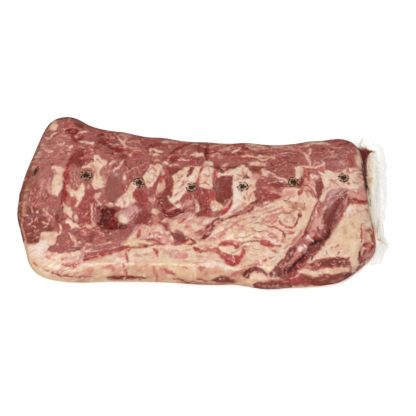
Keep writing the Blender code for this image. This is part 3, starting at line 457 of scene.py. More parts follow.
DETAILS = [  # speckles, squiggles and creases over all of it
    ("pocket", (0, 483, 187, 486, 184, 498, 183, 498, 150, 489, 150, 486, 166)),
    ("dusk", (0, 128, 144, 132, 149, 147, 150, 147, 137, 142, 122, 138, 111, 130, 109, 126, 118, 126, 130)),
    ("rose", (1.2, 45, 35, 52, 34), (1.4, 67, 34, 70, 31), (0.8, 186, 150, 192, 148, 196, 146), (0.7, 183, 143,
     188, 142), (0.8, 222, 149, 228, 147, 234, 149), (0.8, 224, 140, 230, 141, 236, 139), (0.8, 222, 119, 228,
     121, 234, 126), (1.3, 318, 119, 320, 113), (0.8, 322, 124, 325, 112), (1, 484, 142, 488, 141), (0.8, 470,
     138, 478, 136, 484, 138), (2.6, 376, 23, 384, 30, 392, 36, 399, 43), (0.8, 350, 70, 358, 65, 364, 62),
     (0.8, 352, 64, 360, 60, 368, 58), (0.8, 344, 80, 350, 78, 352, 76), (0.8, 372, 98, 380, 96, 388, 97), (2.2,
     262, 44, 272, 44, 280, 42), (2, 299, 8, 306, 11, 313, 15), (1.5, 309, 4, 314, 12, 318, 19), (1.1, 283, 64,
     290, 68, 297, 73, 303, 77), (0.9, 300, 72, 303, 80, 310, 84, 318, 87), (0.9, 303, 78, 309, 78, 318, 75),
     (0.9, 326, 88, 334, 89, 341, 92), (0.9, 318, 102, 328, 105, 338, 104, 346, 108), (1, 270, 60, 280, 62, 292,
     66), (0.8, 308, 70, 316, 72, 324, 70), (0.8, 330, 80, 338, 82, 346, 80), (0.9, 348, 88, 356, 92, 366, 92),
     (0.9, 330, 62, 340, 60, 350, 61), (0.9, 306, 60, 318, 61, 330, 66), (0.8, 384, 92, 388, 86, 386, 80), (0.9,
     376, 108, 382, 116, 390, 120), (0.8, 330, 46, 338, 44), (0.9, 352, 46, 360, 42, 366, 40), (1, 170, 16, 178,
     14), (1.2, 234, 22, 242, 18), (1, 224, 128, 232, 134, 241, 141), (1, 226, 144, 234, 146, 242, 152), (0.9,
     190, 160, 196, 154), (0.9, 184, 152, 190, 158), (0.9, 182, 140, 188, 136), (0.9, 260, 158, 266, 162, 272,
     160), (0.9, 262, 150, 268, 146, 274, 150), (0.9, 262, 138, 268, 141), (0.9, 308, 150, 314, 146, 320, 152),
     (0.9, 322, 130, 328, 134, 332, 130), (0.8, 326, 118, 330, 124), (1, 52, 156, 56, 150, 54, 144), (0.9, 108,
     158, 112, 150, 112, 142), (0.9, 112, 170, 118, 165), (0.9, 438, 142, 446, 140, 452, 144), (0.9, 470, 152,
     478, 156), (0.9, 472, 140, 480, 136), (0.7, 378, 58, 384, 60), (0.7, 350, 64, 356, 68, 362, 66), (0.7, 356,
     60, 364, 62), (1, 153, 52, 156, 60, 162, 66), (0.8, 165, 60, 178, 58, 190, 55), (0.8, 170, 52, 182, 51)),
    ("pink", (0.8, 36, 92, 42, 90, 46, 92), (0.9, 38, 82, 44, 80, 48, 84), (1, 28, 96, 31, 98), (0.7, 45, 86,
     50, 88), (2.2, 142, 206, 150, 206, 160, 204), (1, 155, 195, 165, 196, 173, 194), (0.9, 158, 187, 172, 186),
     (0.9, 162, 183, 174, 182), (1.1, 203, 196, 213, 196, 226, 194), (0.8, 279, 179, 286, 178, 292, 179.5),
     (0.8, 281, 175, 288, 174), (0.8, 283, 171, 291, 172), (1.1, 295, 186, 303, 189), (0.9, 290, 183, 298,
     184.5), (1.2, 334, 185, 346, 186), (0.9, 465, 182, 469, 180), (0.8, 455, 162, 461, 165), (0.8, 445, 187,
     458, 188), (0.8, 430, 173, 442, 174, 450, 176), (0.8, 366, 178, 378, 180, 390, 179), (1.7, 488, 46, 492,
     50), (1, 379, 27, 386, 33, 394, 39), (1, 419, 68, 424, 61), (1, 344, 94, 356, 98, 368, 100), (0.9, 470,
     119, 480, 118, 488, 114), (1.3, 276, 80, 284, 78, 292, 77), (1.2, 326, 38, 336, 36), (3.4, 204, 44, 214,
     40, 224, 42), (3, 216, 34, 226, 36, 236, 36), (1.6, 168, 38, 176, 36, 184, 38), (1.6, 112, 31, 122, 33),
     (2, 252, 36, 262, 34), (1.4, 272, 18, 284, 17), (0, 403, 131, 404, 147, 410, 150, 420, 149, 425, 144, 420,
     137, 416, 130, 411, 126), (1.1, 356, 190, 372, 190, 388, 190), (1, 342, 131, 352, 130), (1.4, 306, 140,
     312, 146), (1.6, 314, 124, 318, 130), (1.4, 60, 134, 62, 142), (1.3, 446, 152, 456, 156), (1.1, 258, 190,
     266, 189), (1, 322, 189, 330, 188), (1, 386, 188, 398, 190), (1.2, 317, 194, 330, 193), (1.1, 364, 192,
     376, 190), (1.8, 399, 160, 400, 147), (1.2, 158, 56, 168, 57)),
    # Among these white strokes, those at across 392 to 407 and the dots at across 190 to 216 are painted
    # highlights of the wet film
    ("white", (0.7, 46, 85, 47, 86), (1.4, 478, 175, 480, 168), (0, 457, 92, 460, 99, 466, 107, 468, 96, 464,
     90), (1.4, 404, 65, 407, 62), (0.9, 416, 89, 421, 104), (0.8, 426, 98, 430, 104), (1.6, 392, 42, 396, 48),
     (1, 399, 52, 402, 48), (1.2, 146, 118, 149, 108), (1.2, 152, 121, 156, 108), (1.4, 168, 134, 164, 126),
     (1.3, 223, 117, 232, 123, 242, 133), (1.6, 238, 152, 229, 137, 221, 122), (1.4, 246, 146, 236, 129, 227,
     113), (1.2, 212, 118, 218, 110, 225, 104), (1.3, 142, 116, 148, 106), (1, 158, 122, 162, 112), (1.1, 354,
     29, 361, 34, 366, 40, 372, 45), (0.8, 383, 58, 388, 66, 392, 70), (1.2, 192, 72, 193, 71), (1.1, 198, 74,
     200, 73), (1.2, 204, 70, 205, 68), (1.1, 196, 65, 198, 64), (1, 190, 64, 191, 63), (1, 209, 58, 210, 57),
     (1, 214, 52, 216, 52)),
    ("umber", (3.2, 20, 76, 30, 67), (3.4, 23, 59, 32, 64), (2.4, 14, 60, 16, 72), (1.6, 38, 75, 50, 74), (1,
     118, 207, 130, 208, 140, 206), (0.9, 154, 162, 158, 156, 165, 155), (0.8, 150, 168, 153, 164, 152, 160),
     (1.3, 317, 164, 322, 162, 327, 166), (0.8, 420, 184, 436, 185, 450, 184), (0.8, 430, 169, 444, 170, 458,
     173), (0.7, 372, 165, 384, 166, 396, 164), (0.7, 384, 176, 396, 174), (1.8, 484, 41, 489, 43), (1.2, 479,
     30, 482, 33), (1.1, 476, 25, 480, 28), (0, 375, 28, 377, 36, 378, 44, 383, 48, 387, 44, 385, 35, 380, 29),
     (4.6, 405, 40, 413, 45, 421, 49, 426, 54), (0, 353, 12, 358, 19, 364, 25, 370, 31, 371, 22, 369, 12, 367,
     8, 356, 8), (1.3, 403, 68, 406, 76, 409, 85), (1.1, 419, 76, 420, 68)),
    ("blood", (1.3, 209, 153, 204, 146, 198, 139, 193, 134), (1.9, 479, 148, 482, 150), (1, 490, 104, 491, 92),
     (1.2, 482, 73, 481, 65, 479, 55), (1.6, 473, 15, 479, 22), (1, 424, 91, 420, 103), (1.1, 452, 88, 460, 102,
     466, 110), (0, 284, 43, 292, 40, 298, 38, 304, 36, 310, 37, 315, 35, 312, 26, 304, 22.5, 295, 25, 288, 32),
     (2.6, 285, 52, 294, 54, 303, 53), (2.4, 304, 50, 309, 47), (2.2, 250, 46, 257, 44), (0.9, 356, 80, 362, 84,
     364, 90), (1.9, 209, 15, 221, 11), (1.6, 404, 150, 407, 144, 409, 139), (2.6, 344, 54, 352, 51, 359, 49),
     (1.4, 150, 46, 155, 48, 159, 50), (0.7, 195, 69, 200, 69), (0.7, 201, 66, 206, 65), (0.6, 190, 68, 193,
     67), (0.7, 199, 61, 203, 59)),
    ("rose", (1.6, 279, 44, 284, 37, 290, 30), (2.2, 306, 54, 314, 52), (0.8, 352, 96, 362, 100, 372, 103),
     (1.8, 402, 136, 412, 133), (1.3, 340, 188, 352, 189), (0.7, 149, 120, 152, 108), (1.2, 424, 104, 428, 96),
     (1.5, 358, 50, 369, 50), (0.8, 386, 62, 392, 56, 396, 58), (0.8, 346, 84, 354, 82, 358, 78), (1, 404, 158,
     408, 150)),
    ("fat", (0.9, 148, 197, 150, 191, 155, 189), (0.8, 228, 170, 242, 169), (1.2, 247, 118, 251, 112, 255, 104,
     258, 98), (1.6, 289, 45, 297, 47, 303, 44), (2.6, 413, 147, 416, 145), (1.6, 402, 131, 408, 128), (1.8,
     408, 122, 413, 116), (0.8, 246, 193, 254, 192), (0.8, 284, 191, 306, 194), (0.9, 331, 190, 342, 189, 352,
     186), (0.8, 370, 194, 384, 194, 396, 195), (0.7, 415, 185, 412, 180, 411, 176), (1, 400, 160, 410, 159,
     419, 160, 428, 162, 431, 165, 426, 168), (1.2, 203, 62, 205, 61)),
    ("wine", (0.9, 172, 200, 178, 193), (1.2, 220, 186, 232, 190, 243, 194), (1.4, 492, 75, 493, 66, 496, 58,
     499, 52), (1.3, 483, 51, 488, 52), (2, 493, 42, 497, 49), (1.2, 386, 16, 391, 20, 396, 23), (0.9, 411, 89,
     416, 100, 421, 110), (1.1, 387, 76, 391, 81), (1.3, 395, 89, 398, 95), (1.2, 368, 71, 374, 66, 374, 60),
     (1, 470, 115, 480, 112, 491, 110)),
    ("pink", (0.8, 41, 76, 45, 78), (0.7, 30, 60, 34, 62), (0.9, 381, 36, 384, 42), (0.9, 370.5, 9, 371.5, 19,
     374, 28), (3.4, 482, 184, 483, 175, 484, 165), (1.3, 218, 199, 230, 197, 242, 195), (1.3, 270, 188, 280,
     191, 292, 192, 305, 195), (1.2, 340, 193, 356, 192), (1.2, 392, 192, 404, 196), (1.6, 350, 90, 362, 88)),
    ("tan", (0.8, 22, 88, 23, 82, 20, 78), (0.8, 26, 84, 30, 88, 31, 82), (0.8, 25, 77, 28, 74), (0.8, 15, 71,
     18, 66, 19, 59), (0.8, 21, 104, 23, 96), (0.8, 9, 104, 12, 92), (1.3, 8, 80, 12, 64, 16, 52, 18, 40), (1.6,
     485, 33, 491, 36), (0.8, 180, 204, 196, 203, 206, 202)),
    ("plum", (1.5, 193, 192, 205, 191, 212, 188), (1.5, 246, 172, 256, 170), (1.3, 286, 178, 300, 177, 318,
     178), (1.2, 340, 180, 352, 179), (2.2, 476, 30, 476, 42), (2.4, 410, 42, 420, 48), (2, 360, 14, 366, 22),
     (2.2, 356, 133, 372, 133)),
    # The first black stroke follows the crease where the loose film meets the meat: painted shade over dark
    # juice
    ("black", (2, 487, 160, 489, 150, 490, 142, 492, 131, 494, 121), (1.1, 476, 36, 478, 42), (1.8, 373, 17,
     374, 12), (1.5, 382, 18, 387, 23), (1.4, 391, 28, 396, 33), (2.2, 410, 51, 416, 55, 423, 56), (1.6, 426,
     56, 432, 63, 437, 71)),
    ("wine", (1, 414, 60, 418, 58)),
    # The white stroke at across 410 to 413 is a painted highlight of the wet film
    ("white", (1, 480, 38, 482, 41), (1, 494, 50, 495, 54), (1.2, 410, 58, 413, 55), (1.5, 412, 149, 415, 145),
     (1.3, 150, 118, 156, 107), (1, 486, 160, 487, 152)),
    ("red", (2, 338, 137, 345, 139), (0.8, 480, 178, 482, 171), (0.8, 482, 160, 485, 154), (1.1, 397, 97, 397,
     91), (1.4, 409, 152, 411, 144)),
    ("violet", (0.9, 38, 62, 41, 58), (1.4, 480, 44, 485, 48), (0.8, 486, 38, 489, 37), (1, 436, 119, 446, 124,
     458, 127), (1, 437, 104, 442, 110, 448, 115, 456, 119, 466, 125)),
    ("blood", (0.9, 488, 31, 493, 34), (0.9, 421, 111, 417, 103, 413, 94, 411, 90), (0.9, 352, 75, 358, 75, 364,
     73, 370, 70, 376, 66, 383, 66), (0.8, 402, 157, 412, 156, 422, 157, 430, 159), (0.8, 402, 134, 408, 131,
     414, 126, 417, 119)),
    ("yellow", (0, 448, 60, 452, 76, 462, 88, 470, 90, 482, 86, 478, 70, 474, 56, 470, 40, 458, 42), (1.3, 484,
     26, 490, 30)),
    ("side", (2.2, 66, 16, 90, 12, 128, 9), (1.6, 19, 38, 19, 30, 22, 22), (2.6, 455, 78, 458, 66), (1.6, 466,
     82, 471, 74), (1.3, 472, 66, 476, 60), (1.2, 474, 98, 482, 96, 488, 98)),
    ("amber", (3.6, 379, 107, 388, 106), (2.6, 393, 105, 403, 102), (1.8, 386, 98, 390, 101), (1.2, 392, 99,
     398, 97)),
    ("umber", (0.8, 417, 142, 421, 146), (0.8, 388, 108, 391, 107), (0.7, 380, 110, 383, 109)),
    ("fat", (1.6, 420, 139, 423, 146), (2, 483, 181, 485, 172, 486, 163), (1.6, 478, 172, 480, 164)),
    ("rose", (1.4, 84, 12, 90, 14), (1.1, 66, 17, 68, 12), (1, 402, 108, 403, 101), (0.8, 372, 66, 371, 60, 368,
     56, 374, 55), (0.8, 406, 127, 411, 122, 413, 115)),
    ("amber", (1.1, 382, 109, 386, 106, 391, 107), (1, 395, 109, 399, 105, 403, 103)),
    ("brown", (2.4, 337, -6, 352, -7, 366, -7, 380, -7), (1.8, 436, 0, 448, 3, 458, 6), (1.6, 420, 2, 430, 4),
     (1.2, 384, 104, 388, 102), (1, 399, 100, 404, 98)),
    ("pink", (1.2, 20, 32, 27, 30), (1.3, 213, 186, 216, 190), (2.4, 92, 12, 104, 10), (0.7, 343, -4, 346, -7),
     (0.6, 350, -4, 351, -7), (1.4, 372, 58, 380, 54)),
    ("tan", (0.6, 364, -2, 364, -8)),
    ("silver", (0.8, 445, 86, 450, 96, 457, 108), (0.6, 357, -2, 357, -8), (0.7, 452, 10, 462, 14)),
    ("plum", (0, 417, 131, 420, 140, 427, 144, 429, 132, 426, 122, 422, 114, 419, 120), (1.5, 452, 112, 456,
     104, 452, 96)),
    ("white", (1.3, 466, 37, 470, 44, 473, 51), (0.9, 482, 46, 484, 47), (2.4, 418, 147, 421, 143), (1, 408,
     134, 415, 130, 419, 123)),
    ("rose", (0.7, 70, 12, 84, 9, 100, 8), (0.7, 104, 12, 120, 10), (0.8, 414, 141, 420, 138, 427, 141)),
    ("blood", (0.9, 484, 48, 490, 49), (0.7, 487, 176, 487, 169)),
    ("violet", (0.8, 464, 122, 461, 110, 458, 98, 454, 88)), ("silver", (1, 420, 149, 424, 147)),
]
# Kinds of place of the loose end: colour in FilmSettings, cover, and whether its folds make it patchy
FILM_KINDS = {"milk": ("milky", 0.42, False), "clear": ("milky", 0.2, False), "stain": ("stain", 0.85, True),
              "rust": ("rust", 0.92, True), "seam": ("rust", 0.92, False), "juice": ("purge", 0.97, False),
              "deep": ("deep", 1.0, False)}
# Strokes of the loose end, seen and written as those of the meat
LOOSE = [
    ("stain", (0, 486, 54, 505, 54, 504, 62, 503, 77, 504, 97, 506, 119, 508, 147, 510, 168, 506, 184, 478, 184,
     478, 120), (1.6, 492, 22, 492, 40, 495, 56)),
    ("rust", (2.4, 501, 178, 499, 160, 497, 140, 495.5, 120, 495, 97), (1.5, 495, 97, 497, 80, 501, 66), (1,
     493, 108, 494, 90, 497, 80), (0.8, 502, 82, 498, 73, 496, 64), (0.8, 510, 88, 508, 76, 504, 66, 506, 57),
     (2.2, 492, 170, 498, 171, 501, 169), (2.6, 492, 160, 494, 152), (2.2, 493, 144, 497, 140, 503, 144)),
    ("milk", (1.5, 497, 174, 502, 160), (1.5, 498, 154, 502, 150)),
    ("clear", (0, 480, 189, 496, 188, 513, 184, 524, 196, 505, 225, 480, 225)),
    ("rust", (1, 489, 189, 490, 193, 493, 199, 495, 204, 498, 208)),
    ("stain", (2, 500, 58, 508, 60, 516, 54), (1, 498, 206, 502, 208)),
    ("seam", (1.2, 493, 134, 496, 124), (1.2, 490, 191, 495, 188.5, 500, 186, 506, 183.5, 512, 183)),
    ("rust", (0.6, 503, 60, 511, 55, 519, 49), (0.8, 496, 194, 499, 189, 502, 185)),
    ("juice", (0, 478, 190, 486, 188.5, 492, 187.5, 499, 187, 507, 184, 500, 178, 497, 171, 495, 160, 494.5,
     146, 484, 146, 478, 170)),
    # Deep: near black along the crease by the meat, painted shade over dark juice
    ("deep", (1.6, 488, 162, 490.5, 150, 492, 140, 493, 131, 495, 120), (1.2, 496, 114, 497, 104)),
]
PAINT = GROUND + RIB_END + POCKET + MIDDLE + LOWER + RUMP + DETAILS

# Run of the fibres: place and direction in degrees
FLOW = [((40, 195), 15), ((55, 172), 0), ((20, 150), 72), ((8, 100), 85), ((30, 75), 60), ((40, 120), 80),
        ((78, 115), 85), ((100, 108), 90), ((95, 145), 70), ((140, 130), 80), ((165, 115), 60),
        ((75, 215), -12), ((110, 208), -14), ((155, 192), -5), ((205, 178), 0), ((300, 175), 2),
        ((340, 182), 8), ((380, 168), 15), ((440, 178), 6), ((478, 170), 80), ((190, 145), 62),
        ((235, 135), 50), ((267, 145), 86), ((290, 128), 75), ((310, 120), 78), ((290, 90), 50),
        ((320, 86), 28), ((350, 102), 24), ((300, 68), 30), ((370, 60), 24), ((340, 42), 8),
        ((205, 70), 40), ((235, 80), 15), ((120, 60), 8), ((150, 60), 35), ((60, 58), 30), ((30, 45), 25),
        ((80, 75), 20), ((150, 34), 6), ((250, 34), -3), ((100, 8), -6), ((200, 12), -4), ((285, 8), 0),
        ((380, 5), 5), ((400, 58), 58), ((380, 32), 48), ((425, 92), 66), ((446, 108), 60), ((470, 70), 72),
        ((442, 28), 6), ((440, 4), 6), ((365, 120), 8), ((360, 136), 2), ((402, 135), 78), ((425, 130), 72),
        ((458, 145), 15), ((480, 120), 10)]
# Printed roundels of the film: centre, half size along and across, turn in degrees
MARKS = [((97.5, 147.5), 8.5, 7.1, 0), ((172, 137), 8.3, 6.9, -4), ((245, 131), 8.2, 6.4, 4),
         ((316.5, 131.5), 8.0, 6.8, 0), ((388, 138), 8.0, 6.9, -3), ((458, 144.5), 7.8, 6.7, -6),
         ((26, 153), 8.4, 2.9, 60), ((3.5, 119), 7.5, 1.4, 88)]


# ------------------------------------------------------------------------------------------------ sums
BLOCK = 24          # random values along each side of a block of noise
FIELD_SOFT = 1.3    # half width in mm of the soft edge of a filled area
FACING = (0.05, 0.45)   # leaning of a normal to the upper face where its relief begins and is whole
PAINTED = (-0.12, 0.05)   # the same for its colours


def blend(edge0, edge1, value):
    """0 below edge0 to 1 above edge1 with a soft turn."""
    share = np.clip((value - edge0) / (edge1 - edge0), 0, 1)
    return share * share * (3 - 2 * share)


def bell(distance):
    """Soft bump of height 1."""
    return np.exp(-distance * distance)


def smooth_line(points, share):
    """Points at the shares (0 to 1) of a smooth curve through the given points, by chord length."""
    p = np.array(points, float)
    chord = np.concatenate([[0], np.cumsum(np.hypot(*np.diff(p, axis=0).T))])
    knot = chord / chord[-1]
    slope = np.gradient(p, knot, axis=0)
    share = np.clip(share, 0, 1)
    i = np.clip(np.searchsorted(knot, share, side="right") - 1, 0, len(knot) - 2)
    width = (knot[i + 1] - knot[i])[:, None]
    t = (share - knot[i])[:, None] / width
    return ((2 * t**3 - 3 * t**2 + 1) * p[i] + (t**3 - 2 * t**2 + t) * width * slope[i]
            + (3 * t**2 - 2 * t**3) * p[i + 1] + (t**3 - t**2) * width * slope[i + 1])


def plan(along, deep):
    """Plan position at shares along and deep: a patch stretched between the four edges."""
    front, rear = smooth_line(FRONT, along), smooth_line(REAR, along)
    left, right = smooth_line(LEFT, deep), smooth_line(RIGHT, deep)
    s, t = along[:, None], deep[:, None]
    corners = ((1 - s) * (1 - t) * np.array(FRONT[0]) + s * (1 - t) * np.array(FRONT[-1])
               + (1 - s) * t * np.array(REAR[0]) + s * t * np.array(REAR[-1]))
    return (1 - t) * front + t * rear + (1 - s) * left + s * right - corners


def crown(x, deep):
    """Height of the smooth top."""
    height = EDGE_FRONT + (EDGE_REAR - EDGE_FRONT) * blend(0, 1, deep)
    for cx, ct, wx, wt, rise in (RIB_KNOB, RUMP_SWELL):
        height = height + rise * bell((x - cx) / wx) * bell((deep - ct) / wt)
    return height


def piece_form(cube):
    """Smooth form of the piece for points on the surface of a cube from -1 to 1."""
    a, b, c = cube.T
    flat = np.abs(c) > 0.999
    ring = np.maximum(np.abs(a), np.abs(b))
    power = np.where(c > 0, TOP_POWER, BOTTOM_POWER)
    side = np.abs(c) * (1 - RIM**power)**(1 / power)
    spread = np.where(flat, ring * RIM, (1 - side**power)**(1 / power))
    rise = np.where(flat, (1 - (ring * RIM)**power)**(1 / power), side)
    ring = np.maximum(ring, 1e-9)
    round_off = (np.abs(a / ring)**CORNER + np.abs(b / ring)**CORNER + 1e-12)**(-1 / CORNER)
    scale = spread / ring * np.where(ring > 0.01, round_off, 1)**(ring * ring)
    along, deep = (a * scale + 1) / 2, (b * scale + 1) / 2
    x, y = plan(along, deep).T
    top = crown(x, deep)
    belt = BELT * top
    z = np.where(c > 0, belt + (top - belt) * rise, belt - (belt + UNDER) * rise)
    return np.column_stack([x, y, np.maximum(z, 0)])


def lumps(points, size, seed):
    """Smooth noise from -1 to 1 from a seeded block of random values."""
    block = np.random.default_rng(seed).uniform(-1, 1, (BLOCK, BLOCK, BLOCK))
    q = points / size + 8
    cell = np.floor(q).astype(int)
    f = q - cell
    f = f * f * (3 - 2 * f)
    total = 0
    for di in (0, 1):
        for dj in (0, 1):
            for dk in (0, 1):
                weight = (np.where(di, f[:, 0], 1 - f[:, 0]) * np.where(dj, f[:, 1], 1 - f[:, 1])
                          * np.where(dk, f[:, 2], 1 - f[:, 2]))
                total = total + weight * block[(cell[:, 0] + di) % BLOCK, (cell[:, 1] + dj) % BLOCK,
                                               (cell[:, 2] + dk) % BLOCK]
    return total


def layered(points, *layers):
    """Several smooth noises in one, each given as strength, size and seed."""
    total = 0
    for strength, size, seed in layers:
        total = total + strength * lumps(points, size, seed)
    return total


def line_distance(u, v, points):
    """Distance to a bent line, and how far along it the nearest point is, 0 to 1."""
    best, share = np.full(len(u), 1e9), np.zeros(len(u))
    count = len(points) - 1
    for number, ((ax, ay), (bx, by)) in enumerate(zip(points, points[1:])):
        wx, wy = bx - ax, by - ay
        t = np.clip(((u - ax) * wx + (v - ay) * wy) / (wx * wx + wy * wy + 1e-9), 0, 1)
        away = np.hypot(u - ax - t * wx, v - ay - t * wy)
        share = np.where(away < best, (number + t) / count, share)
        best = np.minimum(best, away)
    return best, share


def relief(points, sunk=1.0):
    """Height of the relief of the upper face, with its hollows kept by the share sunk."""
    u, v = points[:, 0], points @ UPWARD
    total = np.zeros(len(u))
    for line, half, height in LINES:
        total += (height if height > 0 else height * sunk) * bell(line_distance(u, v, line)[0] / half)
    for (cu, cv), (ru, rv), height in SPOTS:
        height = height if height > 0 else height * sunk
        total += height * blend(1.5, 0.45, np.hypot((u - cu) / ru, (v - cv) / rv))
    return total + layered(points, *LUMPS)


def strokes(table):
    """Kind, half width and points of each stroke of a table."""
    for kind, *rows in table:
        for half, *row in rows:
            yield kind, half, list(zip(row[::2], row[1::2]))


def stroke_cover(u, v, ragged, points, half):
    """The places near a stroke and how far each is covered by it, 0 to 1."""
    p = np.array(points, float)
    soft = FIELD_SOFT if half == 0 else 0.55 + 0.35 * half
    reach = 1.5 * half + soft
    low, high = p.min(0) - reach, p.max(0) + reach
    near = np.where((u > low[0]) & (u < high[0]) & (v > low[1]) & (v < high[1]))[0]
    un, vn = u[near], v[near]
    outline = points + points[:1] if half == 0 else points
    away, share = line_distance(un, vn, outline)
    if half:
        width = half * (1 + 0.45 * ragged[near]) * (0.55 + 0.55 * np.sqrt(np.sin(share * math.pi) + 1e-6))
        return near, blend(soft, -soft, away - width) * np.clip(0.88 + 0.3 * ragged[near], 0, 1)
    inside = np.zeros(len(near), bool)
    for (ax, ay), (bx, by) in zip(outline, outline[1:]):
        if ay != by:
            inside ^= ((ay > vn) != (by > vn)) & (un < (bx - ax) * (vn - ay) / (by - ay) + ax)
    return near, blend(soft, -soft, np.where(inside, -away, away) + 0.7 * ragged[near])


def linear(colour):
    """sRGB (0 to 1) to linear light."""
    c = np.asarray(colour, float)
    return np.where(c <= 0.04045, c / 12.92, ((c + 0.055) / 1.055)**2.4)


def toward(tint, colour, share):
    """Mix the tints towards one colour."""
    return tint + (np.array(colour) - tint) * np.clip(share, 0, 1)[:, None]


def streaks(flat, size, seed):
    """Fine noise drawn out along the fibres, about -1 to 1, for places given as across, up and depth."""
    u, v, depth = flat.T
    across, up = 0, 0
    for (cu, cv), degrees in FLOW:
        near = 1 / ((u - cu)**2 + (v - cv)**2 + 60)**1.5
        across = across + near * math.cos(math.radians(2 * degrees))
        up = up + near * math.sin(math.radians(2 * degrees))
    turn = np.arctan2(up, across) / 2
    total = 0
    for step in (-3, -2, -1, 0, 1, 2, 3):
        moved = np.column_stack([u + step * size * np.cos(turn), v + step * size * np.sin(turn), depth])
        total = total + lumps(moved, size, seed) * (1 - abs(step) / 5)
    return total / 1.1


def face_paint(points, palette):
    """sRGB colour, fatness and height for places of the upper face."""
    u, v = points[:, 0], points @ UPWARD
    flat = np.column_stack([u, v, points @ RAISED])
    uw = u + layered(flat, (1.2, 6, 31), (0.9, 2.6, 32), (0.4, 1.2, 35))
    vw = v + layered(flat, (1.2, 6, 33), (0.9, 2.6, 34), (0.4, 1.2, 36))
    ragged = layered(flat, (0.7, 3.4, 37), (0.5, 1.5, 38))
    tint, state = np.zeros((len(u), 3)), np.zeros((len(u), 3))
    for kind, half, line in strokes(PAINT):
        near, cover = stroke_cover(uw, vw, ragged, line, half)
        tint[near] += (palette[kind] - tint[near]) * cover[:, None]
        state[near] += (np.array(KINDS[kind]) - state[near]) * cover[:, None]
    fat, lift, grain = state.T
    broad, mid, small = lumps(flat, 9, 41), lumps(flat, 3.6, 42), lumps(flat, 1.5, 43)
    grain = grain * np.clip(0.85 + 0.6 * lumps(flat, 17, 47), 0.3, 1.3)
    fibre, fine = streaks(flat, 1.7, 44) * grain, streaks(flat, 1.0, 45) * grain
    lean = 1 - fat
    # Ragged pink seams where fat meets lean
    tint = toward(tint, palette["rose"], fat * lean * (1 + mid))
    # Blushes, yellow and white places and fine veins in the fat
    blush = blend(0.0, 1.1, 0.6 * broad + 0.5 * mid + 0.8 * fibre) * fat
    tint = toward(tint, palette["pink"], 0.85 * blush)
    tint = toward(tint, palette["rose"], 0.5 * fat * blend(0.75, 1.2, 0.5 * fine + 0.8 * fibre + 0.6 * broad))
    tint = toward(tint, palette["yellow"], 0.8 * fat * blend(0.0, 0.7, lumps(flat, 13, 49)))
    tint = toward(tint, palette["white"], 0.75 * fat * blend(0.0, 0.9, -0.6 * fibre - 0.7 * mid - 0.5 * broad))
    vein = bell(lumps(flat, 6.5, 46) / 0.08) * blend(-0.1, 0.6, broad + 0.4)
    thread = bell(streaks(flat, 2.4, 50) / 0.13) * blend(-0.5, 0.5, mid + 0.5 * small)
    tint = toward(tint, palette["rose"], (0.45 * vein + 0.6 * thread) * fat * grain)
    # Flecks of marbling and dark fibres in the lean, and painted glints: white specks that stand for highlights
    # of the wet film
    fleck = blend(0.28, 0.95, 0.8 * fine + 0.4 * small * grain + 0.25 * mid) * lean
    tint = toward(tint, palette["pink"], 0.8 * fleck)
    dark = blend(0.2, 1.1, -0.8 * fibre - 0.5 * mid - 0.3 * broad) * lean
    tint = toward(tint, palette["umber"], 0.6 * dark)
    painted_glint = blend(0.62, 0.85, lumps(flat, 1.6, 48)) * blend(0.0, 0.5, broad) * grain * lean
    tint = toward(tint, palette["white"], 0.6 * painted_glint)
    shade = 1 + (0.05 * small + 0.10 * fine + 0.05 * fibre) * (1 - 0.6 * fat) + 0.03 * mid
    lift = lift + 0.2 * fine * lean + (0.30 * mid + 0.16 * small + 0.15 * fibre) * (0.4 + 0.6 * fat)
    return np.clip(tint * shade[:, None], 0, 1), fat, lift


def plain_paint(points, palette):
    """The same for the sides that have no strokes: fat cap below, lean above, silver skin on the lean."""
    broad, mid, small = lumps(points, 16, 51), lumps(points, 5, 52), lumps(points, 2, 53)
    along = points * np.array([0.25, 1, 1])
    fibre = lumps(along, 2.2, 54)
    level = points[:, 2] + 6 * broad + 2.5 * mid
    fat = blend(25, 16, level)
    tint = np.zeros((len(points), 3)) + palette["lean"]
    tint = toward(tint, palette["plum"], 0.6 * blend(0.0, 0.8, -fibre - 0.5 * mid))
    tint = toward(tint, palette["silver"], 0.55 * blend(0.25, 0.8, broad + 0.5 * fibre))
    tint = toward(tint, palette["pink"], 0.5 * blend(0.5, 0.9, 0.7 * fibre + 0.6 * small))
    cap = np.zeros((len(points), 3)) + palette["fat"]
    cap = toward(cap, palette["yellow"], blend(-0.4, 0.8, broad))
    cap = toward(cap, palette["pink"], 0.6 * blend(0.2, 0.9, mid + 0.4 * fibre))
    cap = toward(cap, palette["rose"], 0.45 * bell(lumps(points, 11, 55) / 0.07))
    tint = tint + (cap - tint) * fat[:, None]
    lift = 0.16 * fibre * (1 - fat) + (0.35 * mid + 0.15 * small) * fat
    return np.clip(tint * (1 + 0.04 * small + 0.03 * fibre)[:, None], 0, 1), fat, lift


# ---------------------------------------------------------------------------------------- modelling
def clear_selection():
    """Object mode with nothing selected."""
    if bpy.context.object and bpy.context.object.mode != "OBJECT":
        bpy.ops.object.mode_set(mode="OBJECT")
    bpy.ops.object.select_all(action="DESELECT")


def read_points(piece):
    """Vertex positions in metres."""
    points = np.empty(len(piece.data.vertices) * 3)
    piece.data.vertices.foreach_get("co", points)
    return points.reshape(-1, 3)


def write_points(piece, points):
    """Move the vertices, given in metres."""
    piece.data.vertices.foreach_set("co", np.ascontiguousarray(points, float).ravel())
    piece.data.update()


def vertex_normals(piece):
    """Vertex normals of the mesh."""
    normals = np.empty(len(piece.data.vertices) * 3)
    piece.data.vertex_normals.foreach_get("vector", normals)
    return normals.reshape(-1, 3)


def to_world(points):
    """Layout millimetres to metres in the frame of the part."""
    return (points - CENTRE) * MM


def to_layout(points):
    """Metres in the frame of the part to layout millimetres."""
    return points / MM + CENTRE


